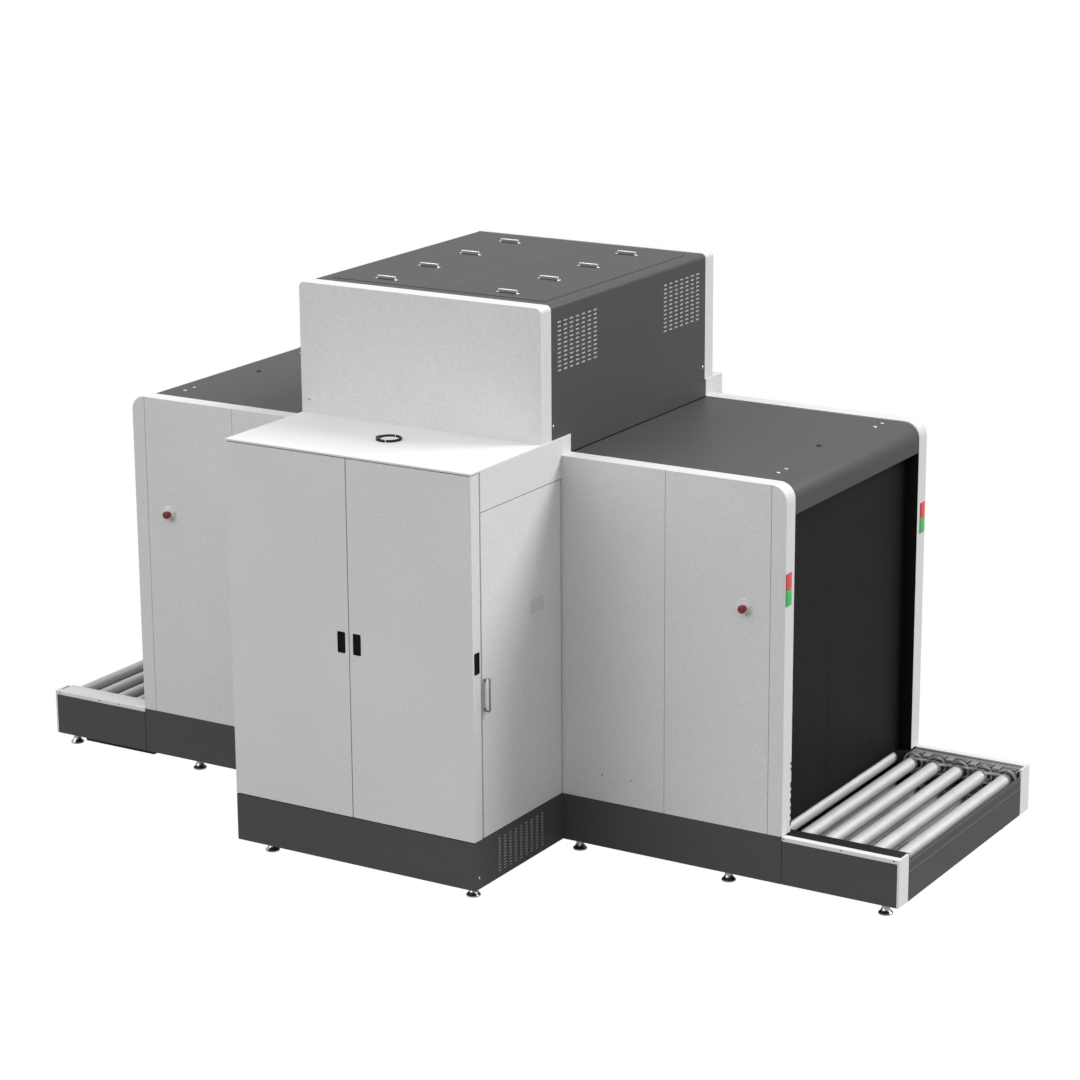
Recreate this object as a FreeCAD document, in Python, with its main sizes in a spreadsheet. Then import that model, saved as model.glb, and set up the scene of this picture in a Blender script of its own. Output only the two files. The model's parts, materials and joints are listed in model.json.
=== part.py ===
import FreeCAD, Part
import os
import re
import Sketcher

# Baggage and pallet x-ray scanner with a roller conveyor through its tunnel.
# Millimetres. X runs along the tunnel, Y across it with the operator's cabinet at -Y, Z is up.
# The origin lies on the floor, below the middle of the whole machine.

SIZES = {
    # Lengths along the tunnel, from the machine's middle
    "table_half": 2875,
    "table_long": 700,
    "body_half": 795,
    "upper_inset": 5,
    # Widths across the tunnel, from the tunnel's middle plane outwards
    "tunnel_wide": 1560,
    "cabinet_deep": 929,
    "rear_cover_deep": 103,
    # Heights: rollers above the floor, tunnel above the rollers, then each storey above the one below
    "skirt_low": 100,
    "roller_high": 360,
    "tunnel_high": 1800,
    "ceiling_rise": 30,
    "hood_rise": 175,
    "cabinet_rise": 101,
    "upper_rise": 750,
    "skirt_rise": 14,
    "frame_drop": 134,
    # Hoods over the tunnel
    "panel_thick": 103,
    "panel_corner": 88,
    "panel_seam": 2,
    "end_strip_wide": 90,
    "inner_strip_wide": 648,
    "seam_deep": 4,
    "roof_drop": 5,
    "roof_bend": 100,
    "lip_thick": 15,
    # Cabinet
    "door_thick": 88,
    "leaf_thick": 30,
    "leaf_gap": 6,
    "side_leaf_drop": 229,
    "top_thick": 10,
    "top_seat": 6,
    "post_size": 60,
    "post_gap": 8,
    "pin_inset": 12,
    "pin_radius": 8,
    "pin_seat": 20,
    "pin_clear": 0.1,
    "seat_clear": 0.3,
    # Upper housing
    "upper_front_lap": 204,
    "upper_rear_inset": 13,
    "upper_front_thick": 109,
    "upper_rear_thick": 97,
    "upper_corner": 30,
    "cover_drop": 4,
    "lid_thick": 3,
    "lid_margin_wide": 90,
    "lid_seam": 4,
    "handle_long": 180,
    "handle_wide": 22,
    "handle_high": 38,
    "handle_bar": 6,
    "handle_bend": 12,
    "handle_side_gap": 390,
    "handle_first_gap": 193,
    "handle_last_gap": 243,
    "handle_rows": 4,
    # Grilles
    "grille_wide": 450,
    "grille_high": 292,
    "grille_thick": 6,
    "grille_well": 25,
    "grille_drop": 239,
    "grille_inset": 284,
    "plinth_grille_wide": 506,
    "plinth_grille_high": 204,
    "plinth_grille_inset": 479,
    "plinth_grille_z": 231,
    # Conveyor
    "roller_radius": 38,
    "roller_pitch": 146,
    "roller_end_gap": 72,
    "table_rollers": 5,
    "tube_gap": 8,
    "drive_room": 68,
    "axle_radius": 12,
    "hub_radius": 20,
    "bed_inset": 50,
    "bed_plate": 6,
    "bed_flange_drop": 8,
    "rail_wide": 43,
    "rail_high": 24,
    "rail_post": 122,
    "rail_end": 12,
    "skirt_sheet": 5,
    "pan_thick": 3,
    "end_skirt_drop": 40,
    "end_skirt_thick": 12,
    "end_step": 4,
    "end_ridge_low": 68,
    "end_ridge_high": 16,
    # Chain drive
    "chain_pitch": 12.7,
    "sprocket_teeth": 15,
    "sprocket_thick": 7,
    "sprocket_gap": 14,
    "sprocket_space": 24,
    "tooth_rise": 4,
    "tooth_root": 4,
    "chain_plate": 1.5,
    "chain_clear": 0.3,
    "chain_high": 11,
    # Lead curtain
    "curtain_inset": 78,
    "curtain_thick": 6,
    "curtain_gap": 5,
    "curtain_hem": 70,
    "curtain_strips": 8,
    "curtain_slit": 3,
    "curtain_rod": 9,
    "curtain_rail_wide": 28,
    # Signal lamps and stop buttons
    "lamp_wide": 62,
    "lamp_high": 88,
    "lamp_proud": 6,
    "lamp_middle_high": 1764,
    "lamp_shift": 14,
    "stop_inset": 245,
    "stop_high": 1635,
    "stop_plate_radius": 42,
    "stop_plate_thick": 4,
    "stop_collar_radius": 19,
    "stop_collar_long": 16,
    "stop_bore_radius": 9,
    "stop_head_radius": 24,
    "stop_head_long": 17,
    "stop_bevel_long": 5,
    "stop_bevel_deep": 7,
    "stop_travel": 4,
    "stop_spare": 1,
    # Door pulls and handles
    "pull_wide": 48,
    "pull_high": 118,
    "pull_deep": 22,
    "pull_x": 51,
    "pull_z": 1385,
    "pull_lip": 4,
    "paddle_wide": 20,
    "paddle_sunk": 3,
    "paddle_rise": 15,
    "side_pull_y": 41,
    "bar_long": 186,
    "bar_radius": 9,
    "bar_stand": 24,
    "bar_inset": 16,
    "bar_z": 1192,
    # Base frame and feet
    "frame_beam": 178,
    "cross_wide": 90,
    "foot_radius": 40,
    "foot_disc": 16,
    "foot_stem": 13,
    "foot_row_inset": 138,
    "foot_left_end_gap": 43,
    "foot_left_body_gap": 123,
    "foot_right_end_gap": 137,
    "foot_right_body_gap": 29,
    "cabinet_foot_side_gap": 118,
    "cabinet_foot_front_gap": 164,
    "guard_long": 532,
    "guard_lap": 24,
    "guard_inset": 45,
    "guard_drop": 34,
    "guard_wide": 520,
    # Cable gland on the cabinet's top
    "gland_inset": 425,
    "gland_radius": 72,
    "gland_bore": 52,
    "gland_high": 14,
}

DERIVED = {
    "tunnel_half": "tunnel_wide / 2",
    "panel_out": "tunnel_half + panel_thick",
    "front_reach": "panel_out + cabinet_deep",
    "rear_reach": "panel_out + rear_cover_deep",
    "tunnel_y": "(front_reach - rear_reach) / 2",
    "hood_half": "table_half - table_long",
    "upper_half": "body_half - upper_inset",
    "skirt_high": "roller_high + skirt_rise",
    "frame_high": "skirt_high - frame_drop",
    "end_skirt_high": "skirt_high - end_skirt_drop",
    "lintel_low": "roller_high + tunnel_high",
    "ceiling_low": "lintel_low + ceiling_rise",
    "hood_high": "lintel_low + hood_rise",
    "cabinet_high": "hood_high + cabinet_rise",
    "upper_high": "cabinet_high + upper_rise",
    "side_leaf_high": "cabinet_high - side_leaf_drop",
    "grille_middle_high": "upper_high - grille_drop",
    "plinth_grille_y": "front_reach - plinth_grille_inset",
    "gland_y": "front_reach - gland_inset",
    "roller_z": "roller_high - roller_radius",
    "last_roller": "table_half - roller_end_gap",
    "bed_half": "tunnel_half - bed_inset",
    "tube_front": "bed_half - tube_gap",
    "tube_rear": "bed_half - drive_room",
    "sprocket_first": "tube_rear + sprocket_gap",
    "pitch_radius": "chain_pitch / 2 / sin(180 / sprocket_teeth)",
    "curtain_x": "hood_half - curtain_inset",
    "stop_x": "hood_half - stop_inset",
    "back_of_doors": "front_reach - door_thick",
    "leaf_high": "cabinet_high - top_thick",
    "upper_front": "panel_out + upper_front_lap",
    "upper_rear": "panel_out - upper_rear_inset",
    "cover_high": "upper_high - cover_drop",
    "cover_front": "upper_front - upper_front_thick",
    "cover_rear": "upper_rear - upper_rear_thick",
    "foot_row": "panel_out - foot_row_inset",
    "guard_start": "hood_half - guard_lap",
    "side_leaf_rear": "panel_out + leaf_gap",
    "side_leaf_front": "back_of_doors - leaf_gap",
}

doc = FreeCAD.newDocument("BaggageScanner")
sheet = doc.addObject("Spreadsheet::Sheet", "Sizes")
WORD = re.compile(r"[a-z][a-z0-9_]*")
V = FreeCAD.Vector
nodes = {}


def fill_sheet():
    """Write each driving size, then each size worked out from them, with its name."""
    row = 1
    for name, size in SIZES.items():
        sheet.set(f"A{row}", name)
        sheet.set(f"B{row}", str(size))
        sheet.setAlias(f"B{row}", name)
        row += 1
    for name, formula in DERIVED.items():
        sheet.set(f"A{row}", name)
        sheet.set(f"B{row}", "=" + formula)
        sheet.setAlias(f"B{row}", name)
        row += 1
    doc.recompute()


def bound(formula):
    """Point each size named in a formula at its cell in the sheet."""
    def cell(match):
        word = match.group()
        known = word in SIZES or word in DERIVED
        return "Sizes." + word if known else word
    return WORD.sub(cell, str(formula))


def value(formula):
    """The number that a formula has now."""
    return float(sheet.evalExpression(bound(formula)))


def place(thing, x="0", y="0", z="0"):
    """Bind an object's position; y is measured from the tunnel's middle plane."""
    thing.setExpression("Placement.Base.x", bound(x))
    thing.setExpression("Placement.Base.y", bound(f"tunnel_y + ({y})"))
    thing.setExpression("Placement.Base.z", bound(z))
    return thing


def box(name, x, y, z):
    """A block between two formulas on each axis."""
    block = doc.addObject("Part::Box", name)
    for side, (low, high) in zip(("Length", "Width", "Height"), (x, y, z)):
        block.setExpression(side, bound(f"({high}) - ({low})"))
    return place(block, x[0], y[0], z[0])


AXIS_TURN = {
    "x": FreeCAD.Rotation(V(0, 1, 0), 90),
    "y": FreeCAD.Rotation(V(1, 0, 0), -90),
    "z": FreeCAD.Rotation(),
}


def rod(name, axis, start, radius, length):
    """A round bar that runs along one axis from its start point."""
    bar = doc.addObject("Part::Cylinder", name)
    bar.Placement = FreeCAD.Placement(V(), AXIS_TURN[axis])
    bar.setExpression("Radius", bound(radius))
    bar.setExpression("Height", bound(length))
    return place(bar, *start)


def hexagon_bar(name, axis, start, radius, length):
    """A six-sided bar, radius measured to its corners, that runs along one axis from its start point."""
    bar = doc.addObject("Part::Prism", name)
    bar.Polygon = 6
    bar.Placement = FreeCAD.Placement(V(), AXIS_TURN[axis])
    bar.setExpression("Circumradius", bound(radius))
    bar.setExpression("Height", bound(length))
    return place(bar, *start)


def cut(name, base, tools):
    """Take the tools out of the base."""
    result = doc.addObject("Part::Cut", name)
    result.Base = base
    result.Tool = tools[0] if len(tools) == 1 else group(name + "_tools", tools)
    return result


def fuse(name, shapes):
    """Join shapes that touch or cross into one solid."""
    result = doc.addObject("Part::MultiFuse", name)
    result.Shapes = shapes
    result.Refine = True
    return result


def group(name, members):
    """Keep several separate solids together."""
    result = doc.addObject("Part::Compound", name)
    result.Links = members
    return result


def copy(name, source, x="0", y="0", z="0"):
    """Another one of a piece that was made on the tunnel's middle plane, moved by the given offsets."""
    result = group(name, [source])
    for axis, offset in zip("xyz", (x, y, z)):
        result.setExpression(f"Placement.Base.{axis}", bound(offset))
    return result


def turned_copy(name, source, x, y, z):
    """Another one of such a piece, turned to face +X, at a place measured from the tunnel's middle plane."""
    result = group(name, [source])
    result.Placement = FreeCAD.Placement(V(), FreeCAD.Rotation(V(0, 0, 1), 90))
    result.setExpression("Placement.Base.x", bound(f"{x} + tunnel_y"))
    result.setExpression("Placement.Base.y", bound(f"tunnel_y + {y}"))
    result.setExpression("Placement.Base.z", bound(z))
    return result


def mirror(name, source, normal=V(1, 0, 0)):
    """The same piece on the other side: left and right, or front and rear of the tunnel."""
    result = doc.addObject("Part::Mirroring", name)
    result.Source = source
    result.Normal = normal
    result.setExpression("Base.y", bound("tunnel_y"))
    return result


SIDES = (("right", ""), ("left", "-"))
SKETCH_PLANE = {"x": "YZ_Plane", "y": "XZ_Plane", "z": "XY_Plane"}


def sketch_on(body, axis, corners, name):
    """A closed outline through the corners, each one held by its formulas."""
    sketch = body.newObject("Sketcher::SketchObject", name)
    role = SKETCH_PLANE[axis]
    plane = [part for part in body.Origin.OriginFeatures if part.Role == role][0]
    sketch.AttachmentSupport = (plane, [""])
    sketch.MapMode = "FlatFace"
    points = [V(value(first), value(second), 0) for first, second in corners]
    count = len(points)
    for index in range(count):
        sketch.addGeometry(Part.LineSegment(points[index], points[(index + 1) % count]), False)
    for index in range(count):
        sketch.addConstraint(Sketcher.Constraint("Coincident", index, 2, (index + 1) % count, 1))
    for index, (corner, point) in enumerate(zip(corners, points)):
        for kind, formula, size in zip(("DistanceX", "DistanceY"), corner, (point.x, point.y)):
            held = sketch.addConstraint(Sketcher.Constraint(kind, -1, 1, index, 1, size))
            sketch.setExpression(f"Constraints[{held}]", bound(formula))
    return sketch


def extrusion(name, axis, corners, low, high):
    """A body made by padding an outline along one axis, from low to high."""
    body = doc.addObject("PartDesign::Body", name + "_body")
    sketch = sketch_on(body, axis, corners, name + "_outline")
    pad = body.newObject("PartDesign::Pad", name + "_pad")
    pad.Profile = sketch
    pad.setExpression("Length", bound(f"({high}) - ({low})"))
    pad.Reversed = axis == "y"
    doc.recompute()
    position = {"x": (low, "0", "0"), "y": ("0", low, "0"), "z": ("0", "0", low)}[axis]
    return place(body, *position)


def edges_along(shape, axis, at):
    """Names of the straight edges that run along an axis through the given points."""
    index = "xyz".index(axis)
    others = [other for other in range(3) if other != index]
    names = []
    for number, edge in enumerate(shape.Edges, 1):
        first, last = edge.Vertexes[0].Point, edge.Vertexes[-1].Point
        if abs(first[index] - last[index]) < 1e-6:
            continue
        for point in at:
            hits = [abs(end[other] - spot) < 1e-4 for end in (first, last)
                    for other, spot in zip(others, point)]
            if all(hits):
                names.append(f"Edge{number}")
    return names


def round_edges(body, axis, corners, radius, name):
    """Round the edges of a body's last feature that stand on the given corners."""
    points = [(value(first), value(second)) for first, second in corners]
    tip = body.Tip
    fillet = body.newObject("PartDesign::Fillet", name)
    fillet.Base = (tip, edges_along(tip.Shape, axis, points))
    fillet.setExpression("Radius", bound(radius))
    doc.recompute()
    return body


def turned(name, outline, axis, x, y, z):
    """A turned piece: its outline gives places along the axis and radii."""
    body = doc.addObject("PartDesign::Body", name + "_body")
    if axis == "z":
        sketch = sketch_on(body, "y", [(radius, along) for along, radius in outline], name + "_outline")
        line = "V_Axis"
    else:
        sketch = sketch_on(body, "x", outline, name + "_outline")
        line = "H_Axis"
    turn = body.newObject("PartDesign::Revolution", name + "_turn")
    turn.Profile = sketch
    turn.ReferenceAxis = (sketch, [line])
    turn.Angle = 360
    doc.recompute()
    return place(body, x, y, z)


def publish(node, thing):
    """Give a finished sub-part its name."""
    thing.Label = node
    nodes[node] = thing


def side_panels():
    """Thick outer panels of both hoods, with strip seams and a rounded upper corner at the mouth."""
    corners = [("body_half", "skirt_high"), ("hood_half", "skirt_high"),
               ("hood_half", "hood_high"), ("body_half", "hood_high")]
    slab = extrusion("hood_panel", "y", corners, "-panel_out", "-tunnel_half")
    round_edges(slab, "y", [("hood_half", "hood_high")], "panel_corner", "hood_panel_corner")
    seams = []
    for index, start in enumerate(("body_half + inner_strip_wide", "hood_half - end_strip_wide")):
        seams.append(box(f"panel_seam_{index}", (start, f"{start} + panel_seam"),
                         ("-panel_out - 1", "-panel_out + seam_deep"), ("skirt_high - 1", "hood_high + 1")))
    right = cut("front_panel_right", slab, seams)
    publish("front_panels", group("front_panels", [right, mirror("front_panel_left", right)]))
    publish("rear_panels", mirror("rear_panels", nodes["front_panels"], V(0, 1, 0)))


def hood_roofs():
    """Dark roof casings between the panels; each bends down over the mouth into a lintel lip."""
    roof_high = "hood_high - roof_drop"
    lip_back = "hood_half - lip_thick"
    corners = [
        ("body_half", "ceiling_low"), (lip_back, "ceiling_low"), (lip_back, "lintel_low"),
        ("hood_half", "lintel_low"), ("hood_half", roof_high), ("body_half", roof_high),
    ]
    right = extrusion("hood_roof", "y", corners, "-tunnel_half", "tunnel_half")
    round_edges(right, "y", [("hood_half", roof_high)], "roof_bend", "hood_roof_bend")
    publish("hood_roofs", group("hood_roofs", [right, mirror("hood_roof_left", right)]))


def middle_body():
    """Shielded walls, beam housing above the tunnel and the cover behind it."""
    span = ("-body_half", "body_half")
    front = box("tunnel_wall_front", span, ("-panel_out", "-tunnel_half"), ("skirt_high", "cabinet_high"))
    rear = box("tunnel_wall_rear", span, ("tunnel_half", "panel_out"), ("skirt_high", "cabinet_high"))
    publish("tunnel_walls", group("tunnel_walls", [front, rear]))
    publish("beam_housing", box("beam_housing", span, ("-tunnel_half", "tunnel_half"),
                                ("ceiling_low", "cabinet_high")))
    publish("rear_cover", box("rear_cover", span, ("panel_out", "rear_reach"),
                              ("skirt_high", "cabinet_high")))


PLINTH_GRILLE_Y = ("-plinth_grille_y - plinth_grille_wide / 2",
                   "-plinth_grille_y + plinth_grille_wide / 2")
PLINTH_GRILLE_Z = ("plinth_grille_z - plinth_grille_high / 2", "plinth_grille_z + plinth_grille_high / 2")


def cabinet():
    """Plinth, posts, fixed side headers and top of the operator's cabinet."""
    pin_x = "body_half - pin_inset"
    pin_y = "-(back_of_doors + pin_inset)"
    side_pin_y = "-(side_leaf_rear + pin_inset)"
    block = box("plinth_block", ("-body_half", "body_half"), ("-front_reach", "-panel_out + skirt_sheet"),
                ("skirt_low", "skirt_high"))
    wells = []
    for name, sign in (("right", 1), ("left", -1)):
        low, high = ("body_half - grille_well", "body_half + 1")
        span = (low, high) if sign > 0 else (f"-({high})", f"-({low})")
        wells.append(box(f"plinth_well_{name}", span, PLINTH_GRILLE_Y, PLINTH_GRILLE_Z))
    seats = []
    for side, sign in SIDES:
        for leaf, seat_y in (("front", pin_y), ("side", side_pin_y)):
            start = (f"{sign}({pin_x})", seat_y, "skirt_high - pin_seat")
            seats.append(rod(f"pin_seat_{leaf}_{side}", "z", start, "pin_radius + pin_clear", "pin_seat + 1"))
    rear_block = box("rear_plinth_block", ("-body_half", "body_half"),
                     ("panel_out - skirt_sheet", "rear_reach"), ("skirt_low", "skirt_high"))
    publish("plinths", group("plinths", [cut("plinth_front", block, wells + seats), rear_block]))

    posts = []
    inner = "body_half - leaf_thick - post_gap"
    rows = [("front", "-(back_of_doors - post_gap)", "-(back_of_doors - post_gap) + post_size"),
            ("rear", "-panel_out - post_size", "-panel_out")]
    for row, low, high in rows:
        right = box(f"post_{row}_right", (f"{inner} - post_size", inner), (low, high),
                    ("skirt_high", "leaf_high"))
        posts += [right, mirror(f"post_{row}_left", right)]
    publish("cabinet_posts", group("cabinet_posts", posts))

    header = box("side_header", (f"{inner}", "body_half"), ("-side_leaf_front", "-panel_out"),
                 ("side_leaf_high", "leaf_high"))
    seat = rod("header_pin_seat", "z", (pin_x, side_pin_y, "side_leaf_high - 1"),
               "pin_radius + pin_clear", "pin_seat + 1")
    right = cut("side_header_right", header, [seat])
    publish("cabinet_headers", group("cabinet_headers", [right, mirror("side_header_left", right)]))

    top = box("top_plate", ("-body_half", "body_half"), ("-front_reach", "-panel_out"),
              ("leaf_high", "cabinet_high"))
    holes = [rod(f"top_pin_seat_{side}", "z", (f"{sign}({pin_x})", pin_y, "leaf_high - 1"),
                 "pin_radius + pin_clear", "top_seat + 1") for side, sign in SIDES]
    publish("cabinet_top", cut("cabinet_top", top, holes))

    ring = rod("gland_ring", "z", ("0", "-gland_y", "cabinet_high"), "gland_radius", "gland_high")
    bore = rod("gland_bore", "z", ("0", "-gland_y", "cabinet_high - 1"), "gland_bore", "gland_high + 2")
    publish("cable_gland", cut("cable_gland", ring, [bore]))


def front_doors():
    """Two deep shielded leaves on pivot pins, with a pull let into the front and the flank."""
    pin_x = "body_half - pin_inset"
    pin_y = "-(back_of_doors + pin_inset)"
    low, high = "skirt_high + leaf_gap", "leaf_high - leaf_gap"
    outline = [("leaf_gap / 2", "-front_reach"), ("body_half", "-front_reach"),
               ("body_half", "-back_of_doors"), ("leaf_gap / 2", "-back_of_doors")]
    leaf = extrusion("front_leaf", "z", outline, low, high)
    round_edges(leaf, "z", [("body_half", "-back_of_doors")], "pin_inset", "front_leaf_heel")
    front_well = box("front_pull_well", ("pull_x - pull_wide / 2", "pull_x + pull_wide / 2"),
                     ("-front_reach - 1", "-front_reach + pull_deep"),
                     ("pull_z - pull_high / 2", "pull_z + pull_high / 2"))
    flank_middle = "-front_reach + side_pull_y"
    flank_well = box("flank_pull_well", ("body_half - pull_deep", "body_half + 1"),
                     (f"{flank_middle} - pull_wide / 2", f"{flank_middle} + pull_wide / 2"),
                     ("pull_z - pull_high / 2", "pull_z + pull_high / 2"))
    pins = [rod("front_pin_low", "z", (pin_x, pin_y, "skirt_high - pin_seat + seat_clear"), "pin_radius",
                "pin_seat + leaf_gap"),
            rod("front_pin_high", "z", (pin_x, pin_y, high), "pin_radius",
                "leaf_gap + top_seat - seat_clear")]
    right = fuse("front_leaf_pinned", [cut("front_leaf_cut", leaf, [front_well, flank_well])] + pins)
    publish("front_door_right", right)
    publish("front_door_left", mirror("front_door_left", right))

    cup = box("pull_cup", ("-pull_wide / 2", "pull_wide / 2"), ("0", "pull_deep"),
              ("-pull_high / 2", "pull_high / 2"))
    hollow = box("pull_hollow", ("-pull_wide / 2 + pull_lip", "pull_wide / 2 - pull_lip"),
                 ("-1", "pull_deep - pull_lip"), ("-pull_high / 2 + pull_lip", "pull_high / 2 - pull_lip"))
    paddle = box("pull_paddle", ("-paddle_wide / 2", "paddle_wide / 2"),
                 ("paddle_sunk", "pull_deep - pull_lip"), ("-pull_high / 2 + pull_lip", "paddle_rise"))
    pull = fuse("pull", [cut("pull_open", cup, [hollow]), paddle])
    front = copy("pull_front", pull, "pull_x", "-front_reach", "pull_z")
    flank = turned_copy("pull_flank", pull, "body_half", flank_middle, "pull_z")
    right_pulls = group("door_pulls_right", [front, flank])
    publish("door_pulls_right", right_pulls)
    publish("door_pulls_left", mirror("door_pulls_left", right_pulls))


def side_doors():
    """Flat leaves on the cabinet's flanks, each with an upright bar handle."""
    pin_x = "body_half - pin_inset"
    pin_y = "-(side_leaf_rear + pin_inset)"
    low, high = "skirt_high + leaf_gap", "side_leaf_high - leaf_gap"
    outline = [("body_half - leaf_thick", "-side_leaf_front"), ("body_half", "-side_leaf_front"),
               ("body_half", "-side_leaf_rear"), ("body_half - leaf_thick", "-side_leaf_rear")]
    leaf = extrusion("side_leaf", "z", outline, low, high)
    round_edges(leaf, "z", [("body_half", "-side_leaf_rear")], "pin_inset", "side_leaf_heel")
    pins = [rod("side_pin_low", "z", (pin_x, pin_y, "skirt_high - pin_seat + seat_clear"), "pin_radius",
                "pin_seat + leaf_gap"),
            rod("side_pin_high", "z", (pin_x, pin_y, high), "pin_radius", "leaf_gap + pin_seat - seat_clear")]
    right = fuse("side_leaf_pinned", [leaf] + pins)
    publish("side_door_right", right)
    publish("side_door_left", mirror("side_door_left", right))

    bar_y = "-side_leaf_front + bar_inset"
    upright = rod("bar_upright", "z", ("body_half + bar_stand", bar_y, "bar_z - bar_long / 2"),
                  "bar_radius", "bar_long")
    legs = [rod(f"bar_leg_{end}", "x", ("body_half", bar_y, f"bar_z {side} (bar_long / 2 - 2 * bar_radius)"),
                "bar_radius * 0.8", "bar_stand") for end, side in (("low", "-"), ("high", "+"))]
    handle = fuse("bar_handle", [upright] + legs)
    publish("side_handle_right", handle)
    publish("side_handle_left", mirror("side_handle_left", handle))


def upper_housing():
    """Dark cover between two thick end panels, with lids, bail handles and grilles."""
    span = ("-upper_half", "upper_half")
    panels = []
    for name, low, high in (("front", "-upper_front", "-cover_front"), ("rear", "cover_rear", "upper_rear")):
        corners = [("-upper_half", "cabinet_high"), ("upper_half", "cabinet_high"),
                   ("upper_half", "upper_high"), ("-upper_half", "upper_high")]
        panel = extrusion(f"upper_{name}", "y", corners, low, high)
        panels.append(round_edges(panel, "y", corners[2:], "upper_corner", f"upper_{name}_corners"))
    publish("upper_panels", group("upper_panels", panels))

    corners = [("-upper_half", "cabinet_high"), ("upper_half", "cabinet_high"),
               ("upper_half", "cover_high"), ("-upper_half", "cover_high")]
    cover = extrusion("upper_cover", "y", corners, "-cover_front", "cover_rear")
    round_edges(cover, "y", corners[2:], "upper_corner - cover_drop", "upper_cover_bends")
    wells, plates = [], []
    places = (("near", "-cover_front + grille_inset"), ("far", "cover_rear - grille_inset"))
    for side, low, high in (("right", "upper_half - grille_well", "upper_half + 1"),
                            ("left", "-upper_half - 1", "-upper_half + grille_well")):
        for row, middle in places:
            across = (f"{middle} - grille_wide / 2", f"{middle} + grille_wide / 2")
            up = ("grille_middle_high - grille_high / 2", "grille_middle_high + grille_high / 2")
            wells.append(box(f"grille_well_{side}_{row}", (low, high), across, up))
            skin = ("upper_half - grille_thick", "upper_half")
            if side == "left":
                skin = ("-upper_half", "-upper_half + grille_thick")
            plates.append(box(f"grille_{side}_{row}", skin, across, up))
    publish("upper_cover", cut("upper_cover", cover, wells))
    publish("upper_grilles", group("upper_grilles", plates))

    lid = box("roof_lid", ("lid_seam / 2", "upper_half - lid_margin_wide"),
              ("-cover_front + lid_margin_wide", "cover_rear - lid_margin_wide"),
              ("cover_high", "cover_high + lid_thick"))
    publish("roof_lids", group("roof_lids", [lid, mirror("roof_lid_left", lid)]))

    outer, inner = "handle_long / 2", "handle_long / 2 - handle_bar"
    corners = [(f"-({outer})", "0"), (f"-({inner})", "0"), (f"-({inner})", "handle_high - handle_bar"),
               (inner, "handle_high - handle_bar"), (inner, "0"), (outer, "0"), (outer, "handle_high"),
               (f"-({outer})", "handle_high")]
    bail = extrusion("lid_bail", "y", corners, "-handle_wide / 2", "handle_wide / 2")
    round_edges(bail, "y", corners[6:], "handle_bend", "lid_bail_bends")
    bails = []
    bail_span = "cover_front + cover_rear - handle_first_gap - handle_last_gap"
    for row in range(int(SIZES["handle_rows"])):
        middle = f"-cover_front + handle_first_gap + {row} * ({bail_span}) / (handle_rows - 1)"
        for side, sign in SIDES:
            bails.append(copy(f"lid_bail_{side}_{row}", bail, f"{sign}(upper_half - handle_side_gap)", middle,
                              "cover_high + lid_thick"))
    publish("lid_handles", group("lid_handles", bails))


def plinth_grilles():
    """Slotted plates let into the plinth's flanks."""
    plate = box("plinth_grille", ("body_half - grille_thick", "body_half"), PLINTH_GRILLE_Y, PLINTH_GRILLE_Z)
    publish("plinth_grilles", group("plinth_grilles", [plate, mirror("plinth_grille_left", plate)]))


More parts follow.
